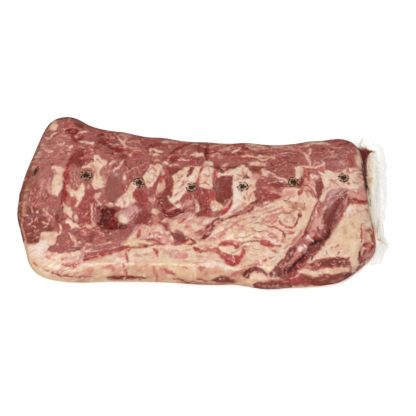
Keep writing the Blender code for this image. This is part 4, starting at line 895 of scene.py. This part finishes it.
def grid_cube(name, cuts):
    """A cube from -1 to 1 cut into a grid: for each axis in turn the cuts, in one or two rounds."""
    clear_selection()
    bpy.ops.mesh.primitive_cube_add(size=2)
    piece = bpy.context.object
    piece.name = piece.data.name = name
    bpy.context.tool_settings.mesh_select_mode = (False, True, False)
    for axis, rounds in cuts:
        for count in rounds:
            mesh = piece.data
            ends = np.empty(len(mesh.edges) * 2, int)
            mesh.edges.foreach_get("vertices", ends)
            points = read_points(piece)
            run = points[ends.reshape(-1, 2)]
            picked = np.abs(run[:, 0, axis] - run[:, 1, axis]) > 1e-6
            mesh.vertices.foreach_set("select", np.zeros(len(mesh.vertices), bool))
            mesh.polygons.foreach_set("select", np.zeros(len(mesh.polygons), bool))
            mesh.edges.foreach_set("select", picked)
            bpy.ops.object.mode_set(mode="EDIT")
            bpy.ops.mesh.subdivide(number_cuts=count - 1)
            bpy.ops.object.mode_set(mode="OBJECT")
    return piece


def smooth_piece(name, cuts, ratio):
    """The smooth form of the piece with the share ratio of its faces, fewer where it lies on its foot."""
    piece = grid_cube(name, cuts)
    write_points(piece, to_world(piece_form(read_points(piece))))
    group = piece.vertex_groups.new(name="foot")
    group.add(np.where(read_points(piece)[:, 2] < FOOT)[0].tolist(), 1.0, "REPLACE")
    change = piece.modifiers.new("thin", "DECIMATE")
    change.ratio = ratio
    change.vertex_group = group.name
    change.vertex_group_factor = 1000
    bpy.ops.object.modifier_apply(modifier=change.name)
    piece.vertex_groups.clear()
    return piece, to_layout(read_points(piece))


def colour_layer(piece, colour, alpha):
    """Store sRGB colours and an alpha on the vertices, as linear light."""
    layer = piece.data.color_attributes.new(name=LAYER, type="FLOAT_COLOR", domain="POINT")
    layer.data.foreach_set("color", np.column_stack([linear(colour), alpha]).ravel())


def finish_piece(piece, slot, *paints):
    """Smooth shading, materials and ride. The slot is not used."""
    clear_selection()
    piece.select_set(True)
    bpy.context.view_layer.objects.active = piece
    bpy.ops.object.shade_smooth()
    for paint in paints:
        piece.data.materials.append(paint)
    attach(piece, BODY)


def surface_tree(piece):
    """Search tree of a finished mesh for casting places on to it."""
    mesh = piece.data
    mesh.calc_loop_triangles()
    corners = [tuple(t.vertices) for t in mesh.loop_triangles]
    return BVHTree.FromPolygons([v.co for v in mesh.vertices], corners)


# ---------------------------------------------------------------------------------------- materials
FILM_IOR = 1.5
CREASE_BUMP = 0.4, 0.0015     # strength, height in metres
# Creases of the tight film are whitened as painted highlights, and the film seen edge on as a painted sheen
CREASE_COVER = 0.05           # cover of the sharpest creases of the tight film
RIM_COVER = 0.02              # cover of the tight film where it is seen edge on
FILM_GLOW = 0.12              # stands for the light that passes through the loose film
INK_WEAR = 0.55               # share of the cover that worn ink keeps


def new_material(name):
    """A material with nothing but a Principled shader and the place on the piece."""
    made = bpy.data.materials.new(name)
    made.use_nodes = True
    made.node_tree.nodes.clear()
    output = made.node_tree.nodes.new("ShaderNodeOutputMaterial")
    shader = made.node_tree.nodes.new("ShaderNodeBsdfPrincipled")
    made.node_tree.links.new(shader.outputs["BSDF"], output.inputs["Surface"])
    return made, shader, wire(made, "TexCoord", {}).outputs["Object"]


def wire(made, kind, inputs, **properties):
    """Add a node, set its properties, and link or set its inputs."""
    node = made.node_tree.nodes.new("ShaderNode" + kind)
    for key, value in properties.items():
        setattr(node, key, value)
    feed(made, node, inputs)
    return node


def feed(made, node, inputs):
    """Link or set inputs, by name or number."""
    for key, value in inputs.items():
        if isinstance(value, bpy.types.NodeSocket):
            made.node_tree.links.new(value, node.inputs[key])
        else:
            node.inputs[key].default_value = value


def noise(made, vector, scale, detail=3.0, rough=0.5, stretch=(1, 1, 1)):
    """A noise value, its features stretched along the axes."""
    placed = wire(made, "Mapping", {"Vector": vector, "Scale": stretch})
    return wire(made, "TexNoise", {"Vector": placed.outputs[0], "Scale": scale, "Detail": detail,
                                   "Roughness": rough}).outputs["Fac"]


def remap(made, value, low, high, out_low=0.0, out_high=1.0):
    """A clamped change of range."""
    return wire(made, "MapRange", {"Value": value, "From Min": low, "From Max": high, "To Min": out_low,
                                   "To Max": out_high}).outputs[0]


def sums(made, way, a, b, clamp=False):
    """One sum of two values."""
    return wire(made, "Math", {0: a, 1: b}, operation=way, use_clamp=clamp).outputs[0]


def mixed(made, share, a, b, way="MIX"):
    """Two colours mixed."""
    node = wire(made, "Mix", {"Factor": share}, data_type="RGBA", blend_type=way)
    feed(made, node, {6: a, 7: b})
    return node.outputs[2]


def shaded(made, colour, shade):
    """A colour made darker or lighter by a value."""
    grey = wire(made, "CombineColor", {0: shade, 1: shade, 2: shade}).outputs[0]
    return mixed(made, 1.0, colour, grey, "MULTIPLY")


def threads(made, value, width, strength):
    """Thin lines where a noise value passes its middle."""
    away = sums(made, "ABSOLUTE", sums(made, "SUBTRACT", value, 0.5), 0)
    return remap(made, away, width, 0.0, 0, strength)


def bump(made, height, strength, distance, **below):
    """A normal bent by a height in metres."""
    inputs = {"Height": height, "Strength": strength, "Distance": distance, **below}
    return wire(made, "Bump", inputs).outputs[0]


def rgb(colour):
    """A palette colour as a socket value."""
    return (*linear(colour), 1.0)


def meat_material(palette, wetness):
    """Beef and fat under wet film: fibres, marbling and veins finer than the vertex colours."""
    made, shader, place = new_material("beef_and_fat")
    layer = wire(made, "Attribute", {}, attribute_name=LAYER)
    colour, fat = layer.outputs["Color"], layer.outputs["Alpha"]
    lean = sums(made, "SUBTRACT", 1.0, fat, True)
    fibre = noise(made, place, 800, 4, 0.65, (0.4, 1, 1))
    grit = noise(made, place, 700, 5, 0.75)
    cloud = noise(made, place, 220, 4, 0.55)
    fleck = sums(made, "MULTIPLY", remap(made, fibre, 0.60, 0.74, 0, 0.5), lean)
    colour = mixed(made, fleck, colour, rgb(palette["pink"]))
    vein = sums(made, "MULTIPLY", threads(made, cloud, 0.012, 0.2), fat)
    colour = mixed(made, vein, colour, rgb(palette["rose"]))
    mottle = remap(made, sums(made, "ADD", fibre, grit), 0.7, 1.3, -0.36, 0.40)
    shade = sums(made, "ADD", 1.0, sums(made, "MULTIPLY", mottle, remap(made, fat, 0, 1, 1.0, 0.3)))
    rough = sums(made, "ADD", remap(made, fat, 0, 1, 0.34, 0.46), remap(made, grit, 0.3, 0.7, -0.05, 0.05))
    ridges = bump(made, fibre, 0.35, 0.0006)
    feed(made, shader, {"Base Color": shaded(made, colour, shade), "Roughness": rough,
                        "Normal": bump(made, cloud, 0.30, 0.0012, Normal=ridges), "Specular IOR Level": 0.45,
                        "Coat Weight": wetness, "Coat Roughness": 0.16, "Coat IOR": 1.4})
    return made


def tight_material(tint, veil):
    """Clear film: nearly unseen face on, with painted highlights along its creases and painted sheen edge on.
    """
    made, shader, place = new_material("clear_film")
    crease = noise(made, place, 120, 5, 0.6, (1, 0.35, 1))
    edge = wire(made, "LayerWeight", {"Blend": 0.25}).outputs["Facing"]
    # White cover along the creases is a painted highlight, and at grazing angles a painted sheen
    share = sums(made, "ADD", threads(made, crease, 0.02, CREASE_COVER), veil)
    painted_edge_sheen = sums(made, "MULTIPLY", sums(made, "POWER", edge, 3.0), RIM_COVER)
    feed(made, shader, {"Base Color": rgb(tint), "Alpha": sums(made, "ADD", share, painted_edge_sheen, True),
                        "Roughness": 0.12, "Normal": bump(made, crease, *CREASE_BUMP), "IOR": FILM_IOR,
                        "Specular IOR Level": 0.8})
    return made


def loose_material():
    """Milky loose film, coloured by what is behind it, stained by juice, with painted crease shade and glow."""
    made, shader, place = new_material("loose_film")
    layer = wire(made, "Attribute", {}, attribute_name=LAYER)
    crease = noise(made, place, 110, 3, 0.5, (1, 0.25, 1))
    # Lighter and darker along the creases: painted shade of the creases
    colour = shaded(made, layer.outputs["Color"], remap(made, crease, 0.3, 0.7, 0.95, 1.03))
    share = sums(made, "ADD", layer.outputs["Alpha"], threads(made, crease, 0.03, 0.1), True)
    feed(made, shader, {"Base Color": colour, "Alpha": share, "Roughness": 0.28, "IOR": FILM_IOR,
                        "Normal": bump(made, crease, *CREASE_BUMP), "Specular IOR Level": 0.2,
                        "Emission Color": colour, "Emission Strength": FILM_GLOW})
    return made


def print_material(name, ink, cover):
    """Printing ink on film, worn through in small spots."""
    made, shader, place = new_material(name)
    wear = noise(made, place, 1300, 4, 0.6)
    colour = mixed(made, remap(made, wear, 0.35, 0.75, 0, 0.5), rgb(ink), rgb(np.minimum(ink * 1.35, 0.9)))
    share = remap(made, wear, 0.30, 0.42, cover * INK_WEAR, cover)
    feed(made, shader, {"Base Color": colour, "Alpha": share, "Roughness": 0.5, "Specular IOR Level": 0.15})
    return made


def floor_material(colour, glow):
    """Pale matt ground with a trace of unevenness."""
    made, shader, place = new_material("pale_ground")
    cloud = noise(made, place, 6, 3, 0.5)
    tone = mixed(made, remap(made, cloud, 0.3, 0.7), rgb(colour), rgb(colour * 0.985))
    feed(made, shader, {"Base Color": tone, "Roughness": 0.9, "Specular IOR Level": 0.1,
                        "Emission Color": (1, 1, 1, 1), "Emission Strength": glow})
    return made


# ------------------------------------------------------------------------------------------ settings
SENSOR = 36     # millimetres


def tone(name, description, red, green, blue):
    """A colour setting, given as sRGB from 0 to 255."""
    return bpy.props.FloatVectorProperty(name=name, description=description, size=3, subtype="COLOR_GAMMA",
                                         min=0, max=1, default=(red / 255, green / 255, blue / 255))


def factor(name, description, default, high=1.0):
    """A share or strength without unit."""
    return bpy.props.FloatProperty(name=name, description=description, default=default, min=0, max=high,
                                   subtype="FACTOR")


def length(name, description, default, low=0.0, high=1.0):
    """A length setting in metres."""
    return bpy.props.FloatProperty(name=name, description=description, default=default, min=low, max=high,
                                   unit="LENGTH", subtype="DISTANCE", precision=5)


class PaletteSettings(bpy.types.PropertyGroup):
    """Colours of the meat"""
    lean: tone("Lean", "Plain lean meat", 166, 91, 82)
    bright: tone("Bright lean", "Lean of the rib end", 177, 107, 98)
    red: tone("Red lean", "Fresher lean between the fat fingers", 162, 67, 60)
    plum: tone("Plum lean", "Dark lean", 137, 58, 49)
    brown: tone("Brown lean", "Lean at the cut of the rib end", 156, 96, 80)
    umber: tone("Umber lean", "Darkest lean", 128, 56, 46)
    fat: tone("Fat", "Cream fat", 231, 197, 168)
    # White is white fat and sinew, and in places a painted highlight of the wet film
    white: tone("White fat", "Whitest fat and sinew", 238, 218, 203)
    yellow: tone("Yellow fat", "Yellowish fat", 226, 194, 153)
    # Side fat is tan and, as painted shade, darker than the top fat, since the front side gets less light
    side: tone("Side fat", "Tan fat of the front side", 212, 163, 127)
    tan: tone("Tan", "Thin rind lines", 214, 168, 138)
    pink: tone("Pink", "Fat with blood in it", 213, 151, 135)
    rose: tone("Rose", "Seams and thin lean over fat", 190, 105, 93)
    blood: tone("Blood", "Bright red seams", 180, 64, 56)
    # Wine is the meat's dark red, darkened further as painted shade where it lies in hollows and grooves
    wine: tone("Wine", "Dark red hollows", 138, 33, 30)
    # Near black in the deepest grooves: painted shade over the dark red there
    black: tone("Deep", "Deepest grooves", 72, 20, 15)
    # Pocket is the dark red of the vertebra hollow, darkened as painted shade of the hollow; it also paints a
    # front groove and the dark juice at the rump end
    pocket: tone("Pocket", "Hollow where a vertebra was", 116, 29, 25)
    silver: tone("Silver skin", "Shining connective skin", 184, 146, 142)
    violet: tone("Violet", "Cartilage and violet sinew", 204, 153, 154)
    amber: tone("Amber", "Orange brown spots of the fat lobe", 198, 138, 94)
    dusk: tone("Dusky lean", "Smooth violet brown lean", 150, 84, 75)


class MeatSettings(bpy.types.PropertyGroup):
    """The meat"""
    relief: factor("Relief", "Share of the relief of the upper face", 1.0, 2.0)
    fine: factor("Fine relief", "Share of the fine relief of fat and fibres", 1.0, 3.0)
    lift: length("Clearance", "Gap between the meat and the table, taken up by the film", 0.0004, 0, 0.002)
    wetness: factor("Wetness", "Gloss of the wet film on the meat", 0.35)


class FilmSettings(bpy.types.PropertyGroup):
    """The tight film and the loose end of the bag"""
    gap: length("Gap", "Distance of the tight film from the meat", 0.0013, 0.0002, 0.004)
    bridging: factor("Bridging", "Share of a hollow that the film spans", 0.25)
    veil: factor("Veil", "Cover of the clear film face on", 0.0)
    milky: tone("Film", "Colour of the film", 241, 239, 236)
    stain: tone("Stain", "Tan juice stain of the loose end", 250, 237, 210)
    rust: tone("Rust", "Darkest stain of the loose end", 206, 142, 82)
    purge: tone("Juice", "Dark juice in the corner of the bag", 112, 34, 29)
    # Near black along the crease where the loose film meets the meat: painted shade over dark juice
    deep: tone("Crease", "Nearly black juice along the meat", 58, 26, 18)


class PrintSettings(bpy.types.PropertyGroup):
    """The printed roundels"""
    ink: tone("Ink", "Dark ink", 46, 36, 22)
    ground: tone("Ring", "Pale ink of the ring", 206, 182, 142)
    # Darker ring ink of the roundels seen edge on at the rib end: painted shade of that end
    worn: tone("Worn ring", "Ink of the roundels seen edge on", 112, 88, 66)


class StageSettings(bpy.types.PropertyGroup):
    """Floor, light and camera"""
    floor: tone("Floor", "Colour of the floor", 246, 246, 245)
    glow: bpy.props.FloatProperty(name="Floor glow", description="Light that the floor gives by itself",
                                  default=0.25, min=0, max=2)
    sky: bpy.props.FloatProperty(name="Sky", description="Strength of the even light", default=0.47, min=0,
                                 max=5)
    key: bpy.props.FloatProperty(name="Key", description="Power of the main soft light", default=27, min=0,
                                 max=500, subtype="POWER", unit="POWER")
    distance: length("Distance", "From the aim to the camera", 2.3, 0.5, 10)
    elevation: bpy.props.FloatProperty(name="Elevation", description="Height of the camera above the table",
                                       default=SLOPE, min=0, max=math.pi / 2, subtype="ANGLE",
                                       unit="ROTATION")
    lens: bpy.props.FloatProperty(name="Lens", description=f"Focal length for a sensor of {SENSOR} mm",
                                  default=141.72, min=10, max=500)


GROUPS = {"palette": PaletteSettings, "meat": MeatSettings, "film": FilmSettings, "marks": PrintSettings,
          "stage": StageSettings}


def settings(context, group):
    """One group of the settings of this add-on."""
    return getattr(context.scene, "striploin_" + group)


def palette_of(context):
    """The meat colours by name."""
    chosen = settings(context, "palette")
    return {name: np.array(getattr(chosen, name)[:]) for name in KINDS}


# ----------------------------------------------------------------------------------------- operators
class STRIPLOIN_OT_meat(bpy.types.Operator):
    """Model and colour the piece of meat"""
    bl_idname = "striploin.meat"
    bl_label = "Meat"
    bl_options = {"REGISTER", "UNDO"}

    def execute(self, context):
        chosen, palette = settings(context, "meat"), palette_of(context)
        piece, form = smooth_piece("beef_meat", MEAT_GRID, 0.70)
        leaning = vertex_normals(piece) @ RAISED
        shown, seen = blend(*FACING, leaning), blend(*PAINTED, leaning)
        tint, fat, lift = face_paint(form, palette)
        side_tint, side_fat, side_lift = plain_paint(form, palette)
        tint = side_tint + (tint - side_tint) * seen[:, None]
        fat = side_fat + (fat - side_fat) * seen
        height = relief(form) * shown * chosen.relief + (side_lift + (lift - side_lift) * seen) * chosen.fine
        points = form + height[:, None] * RAISED
        points[:, 2] = np.maximum(points[:, 2], chosen.lift / MM)
        write_points(piece, to_world(points))
        colour_layer(piece, tint, fat)
        finish_piece(piece, "meat", meat_material(palette, chosen.wetness))
        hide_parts("striploin")
        return {"FINISHED"}


class STRIPLOIN_OT_film_skin(bpy.types.Operator):
    """Stretch the clear film over the meat"""
    bl_idname = "striploin.film_skin"
    bl_label = "Tight film"
    bl_options = {"REGISTER", "UNDO"}

    def execute(self, context):
        chosen = settings(context, "film")
        piece, form = smooth_piece("tight_film", FILM_GRID, 0.65)
        normals = vertex_normals(piece)
        height = relief(form, 1 - chosen.bridging) * blend(*FACING, normals @ RAISED)
        crease = 0
        for rise, size, seed in FILM_CREASES:
            crease = crease + rise * bell(lumps(form, size, seed) / CREASE_WIDTH)
        points = form + height[:, None] * RAISED + (chosen.gap / MM + crease)[:, None] * normals
        points[:, 2] = np.maximum(points[:, 2], FILM_CLEARANCE)
        write_points(piece, to_world(points))
        finish_piece(piece, "film", tight_material(np.array(chosen.milky[:]), chosen.veil))
        return {"FINISHED"}


class STRIPLOIN_OT_roundels(bpy.types.Operator):
    """Print the roundels on the film"""
    bl_idname = "striploin.roundels"
    bl_label = "Printed roundels"
    bl_options = {"REGISTER", "UNDO"}

    TURNS = 48
    RINGS = (0.86, 0.70, 0.55, 0.40, 0.26, 0.14)
    # Of each ring from the outer one: shares of dark ink, of dark and pale ink together
    SHARES = ((0.70, 0.80), (0.22, 0.62), (0.25, 0.50), (0.40, 0.50))
    MIDDLE = 0.41                         # size of the ragged middle
    STRETCH = (1.2, 0.9)                  # of the middle along and across
    EDGE_ON = 4                           # half width in mm up to which a roundel gets the ink darkened as painted shade
    TWIST = 2.4                           # radians by which each roundel is turned on from the last
    START = 200                           # mm above the film from which it is sought
    LIFT = 0.00015                        # metres from the film to the ink

    def pattern(self):
        """One roundel of size 1: a broken ring of short dashes and a ragged middle."""
        clear_selection()
        bpy.ops.mesh.primitive_circle_add(vertices=self.TURNS, radius=1, fill_type="NGON")
        piece = bpy.context.object
        bpy.ops.object.mode_set(mode="EDIT")
        bpy.ops.mesh.select_all(action="SELECT")
        before = 1.0
        for radius in self.RINGS:
            bpy.ops.mesh.inset(thickness=(before - radius) * math.cos(math.pi / self.TURNS))
            before = radius
        bpy.ops.mesh.select_all(action="DESELECT")
        bpy.ops.object.mode_set(mode="OBJECT")
        draw = np.random.default_rng(61).random((len(self.SHARES), self.TURNS // 2))
        for face in piece.data.polygons:
            ring = sum(face.center.length < radius for radius in self.RINGS)
            face.material_index = 1
            if ring < len(self.SHARES):
                turn = int((math.atan2(face.center.y, face.center.x) / math.tau + 1) * self.TURNS + ring)
                dark, inked = self.SHARES[ring]
                pick = draw[ring, turn // 2 % (self.TURNS // 2)]
                face.material_index = int(pick < dark)
                face.select = bool(pick > inked)
        bpy.ops.object.mode_set(mode="EDIT")
        bpy.ops.mesh.delete(type="FACE")
        bpy.ops.object.mode_set(mode="OBJECT")
        return piece

    def execute(self, context):
        chosen = settings(context, "marks")
        # The third ink, darker, is painted shade for the roundels seen edge on at the rib end
        inks = (("dark_ink", chosen.ink, 0.88), ("ring_ink", chosen.ground, 0.6),
                ("worn_ink", chosen.worn, 0.8))
        ink, ground, worn = (print_material(name, np.array(colour[:]), cover) for name, colour, cover in inks)
        tree = surface_tree(bpy.data.objects["tight_film"])
        model = self.pattern()
        for number, ((cu, cv), half_along, half_across, turn) in enumerate(MARKS, 1):
            piece = bpy.data.objects.new(f"roundel_{number}", model.data.copy())
            piece.data.name = piece.name
            context.scene.collection.objects.link(piece)
            flat = read_points(piece)
            radius = np.hypot(flat[:, 0], flat[:, 1])
            angle = np.arctan2(flat[:, 1], flat[:, 0]) + self.TWIST * number
            ragged = 1 + 0.16 * np.sin(angle * 5 + number) + 0.22 * np.sin(angle * 3 + 2.1 * number)
            inside = radius < self.MIDDLE
            size = radius * np.where(inside, ragged, 1 + 0.03 * np.sin(angle * 7 + 5 * radius))
            a = half_along * size * np.cos(angle) * np.where(inside, self.STRETCH[0], 1)
            b = half_across * size * np.sin(angle) * np.where(inside, self.STRETCH[1], 1)
            c, s = math.cos(math.radians(turn)), math.sin(math.radians(turn))
            u, v = cu + a * c - b * s, cv + a * s + b * c
            starts = u[:, None] * np.array([1, 0, 0]) + v[:, None] * UPWARD + self.START * RAISED
            hits = [tree.ray_cast(Vector(start), Vector(-RAISED))[0] for start in to_world(starts)]
            found = [hit for hit in hits if hit is not None]
            if len(found) < len(hits) / 2:
                raise RuntimeError(f"{piece.name} misses the film")
            middle = sum(found, Vector()) / len(found)
            points = np.array([(middle if hit is None else hit)[:] for hit in hits])
            write_points(piece, points + RAISED * self.LIFT)
            # Roundels seen edge on get the darker ink: painted shade
            finish_piece(piece, "film", ground if half_across > self.EDGE_ON else worn, ink)
        bpy.data.objects.remove(model, do_unlink=True)
        return {"FINISHED"}


class STRIPLOIN_OT_loose_end(bpy.types.Operator):
    """Crumple the loose end of the bag against the rump end"""
    bl_idname = "striploin.loose_end"
    bl_label = "Loose end of the bag"
    bl_options = {"REGISTER", "UNDO"}

    MEAT_FROM = 440         # the meat beyond this x bounds the film
    BAND = 6                # half width of the slice of meat that is looked at
    OVERLAP = 0.4           # how far the film reaches into the meat
    LEAST = 1.2             # least height of its top
    CLEARANCE = 0.15        # between the film and the table

    def execute(self, context):
        chosen = settings(context, "film")
        meat = to_layout(read_points(bpy.data.objects["beef_meat"]))
        meat = meat[meat[:, 0] > self.MEAT_FROM]
        piece = grid_cube("loose_film", LOOSE_GRID)
        a, b, c = read_points(piece).T
        out, deep, rise = (a + 1) / 2, (b + 1) / 2, (c + 1) / 2
        y = POUCH_FRONT + (POUCH_REAR - POUCH_FRONT) * deep
        hem = lumps(np.column_stack([30 * out, 0 * out, 0 * out]), 4, 79)
        y = y + 5 * hem * (deep**12 + 0.5 * (1 - deep)**12)
        edge = np.array(POUCH_EDGE, float)
        outer = np.interp(y, edge[:, 0], edge[:, 1]) + 1.2 * lumps(np.column_stack([y, 0 * y, 0 * y]), 7, 71)
        steps = np.linspace(POUCH_FRONT, POUCH_REAR, 60)
        side = np.array([meat[np.abs(meat[:, 1] - step) < self.BAND][:, 0].max(initial=0) for step in steps])
        inner = np.maximum(np.interp(y, steps, side) - self.OVERLAP, POUCH_REAR_X)
        x = inner + (outer - inner) * out
        flat = np.column_stack([x, y * 0.30, 0 * x])
        pleat = layered(flat, (2.0, 6, 72), (1.0, 2.6, 73))
        loose = np.column_stack([x, y, 0 * x])
        crush = layered(loose, (1.6, 12, 74), (0.4, 4.5, 75))
        taper = blend(-0.02, 0.16, deep) * blend(1.02, 0.80, deep)
        top = POUCH_THIN + (POUCH_TOP - POUCH_THIN) * taper * (1 - out)**1.4
        top = top + (pleat + crush) * (0.45 + 0.55 * (1 - out))
        z = np.maximum(top, self.LEAST) * rise + self.CLEARANCE
        points = np.column_stack([x, y, z])
        write_points(piece, to_world(points))
        u, v = x, points @ UPWARD
        folds = np.column_stack([u, v * 0.12, 0 * u])
        fold = layered(folds, (0.7, 5.5, 76), (0.4, 2.4, 77))
        wrinkle = lumps(loose, 3, 78)
        state = np.zeros((len(u), 4)) + (*chosen.milky[:], FILM_KINDS["milk"][1])
        for kind, half, line in strokes(LOOSE):
            colour, solid, patchy = FILM_KINDS[kind]
            near, share = stroke_cover(u + 0.9 * fold, v + 1.1 * wrinkle, wrinkle, line, half)
            if patchy:
                share = share * np.clip(0.85 + 0.8 * fold[near], 0.45, 1)
            state[near] += (np.array((*getattr(chosen, colour)[:], solid)) - state[near]) * share[:, None]
        # Lighter and darker along the folds: painted shade of the folds
        tint = np.clip(state[:, :3] * (1 + 0.08 * fold)[:, None], 0, 1)
        cover = np.clip(state[:, 3] + 0.22 * fold + 0.03 * wrinkle, 0.08, 1)
        colour_layer(piece, tint, cover)
        finish_piece(piece, "film", loose_material())
        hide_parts("bag_tail")
        return {"FINISHED"}


class STRIPLOIN_OT_stage(bpy.types.Operator):
    """Floor, soft light and the camera"""
    bl_idname = "striploin.stage"
    bl_label = "Stage"
    bl_options = {"REGISTER", "UNDO"}

    AIM = (250, 105, 30)            # layout point that the lens axis passes, shifted by the framing
    SHIFT = (13 / 416, -2 / 416)    # the photograph has it a little left of and above the middle
    FLOOR = 8                       # metres
    # Name, place in metres, and share of the power in the settings
    LAMPS = (("key", (-0.6, -0.9, 2.0), 1.0), ("fill", (1.3, 0.5, 1.7), 0.2))
    LAMP = 0.8                      # metres
    FAR = 50                        # metres to which the camera sees

    def execute(self, context):
        chosen = settings(context, "stage")
        clear_selection()
        bpy.ops.mesh.primitive_plane_add(size=self.FLOOR)
        floor = context.object
        floor.name = floor.data.name = "floor"
        floor.data.materials.append(floor_material(np.array(chosen.floor[:]), chosen.glow))
        floor.visible_glossy = False
        world = bpy.data.worlds.new("studio")
        world.use_nodes = True
        sky = world.node_tree.nodes["Background"]
        sky.inputs["Color"].default_value = (1, 1, 1, 1)
        sky.inputs["Strength"].default_value = chosen.sky
        world.cycles_visibility.glossy = False
        context.scene.world = world
        for name, place, share in self.LAMPS:
            clear_selection()
            turn = Vector(place).to_track_quat("Z", "Y").to_euler()
            bpy.ops.object.light_add(type="AREA", location=place, rotation=turn)
            lamp = context.object
            lamp.name = name
            lamp.data.shape = "DISK"
            lamp.data.size = self.LAMP
            lamp.data.energy = chosen.key * share
        clear_selection()
        aim = Vector(to_world(np.array([self.AIM]))[0])
        back = Vector((0, -math.cos(chosen.elevation), math.sin(chosen.elevation)))
        bpy.ops.object.camera_add(location=aim + back * chosen.distance,
                                  rotation=(math.pi / 2 - chosen.elevation, 0, 0))
        camera = context.object
        camera.data.sensor_width = SENSOR
        camera.data.lens = chosen.lens
        camera.data.shift_x, camera.data.shift_y = self.SHIFT
        camera.data.clip_end = self.FAR
        context.scene.camera = camera
        context.scene.view_settings.view_transform = "Standard"
        return {"FINISHED"}


OPERATORS = (STRIPLOIN_OT_meat, STRIPLOIN_OT_film_skin, STRIPLOIN_OT_roundels, STRIPLOIN_OT_loose_end,
             STRIPLOIN_OT_stage)


class STRIPLOIN_PT_sidebar(bpy.types.Panel):
    """Settings and steps of the striploin"""
    bl_idname = "STRIPLOIN_PT_sidebar"
    bl_label = "Striploin"
    bl_space_type = "VIEW_3D"
    bl_region_type = "UI"
    bl_category = "Striploin"

    def draw(self, context):
        layout = self.layout
        for group, kind in GROUPS.items():
            box = layout.box()
            box.label(text=kind.__doc__)
            for name in kind.__annotations__:
                box.prop(settings(context, group), name)
        for operator in OPERATORS:
            layout.operator(operator.bl_idname)


def register():
    for kind in (*GROUPS.values(), *OPERATORS, STRIPLOIN_PT_sidebar):
        bpy.utils.register_class(kind)
    for group, kind in GROUPS.items():
        setattr(bpy.types.Scene, "striploin_" + group, bpy.props.PointerProperty(type=kind))


def unregister():
    for group in GROUPS:
        delattr(bpy.types.Scene, "striploin_" + group)
    for kind in reversed((*GROUPS.values(), *OPERATORS, STRIPLOIN_PT_sidebar)):
        bpy.utils.unregister_class(kind)


def main():
    """Build the scene in order."""
    register()
    bpy.ops.striploin.meat()
    bpy.ops.striploin.film_skin()
    bpy.ops.striploin.roundels()
    bpy.ops.striploin.loose_end()
    bpy.ops.striploin.stage()


if __name__ == "__main__":
    main()
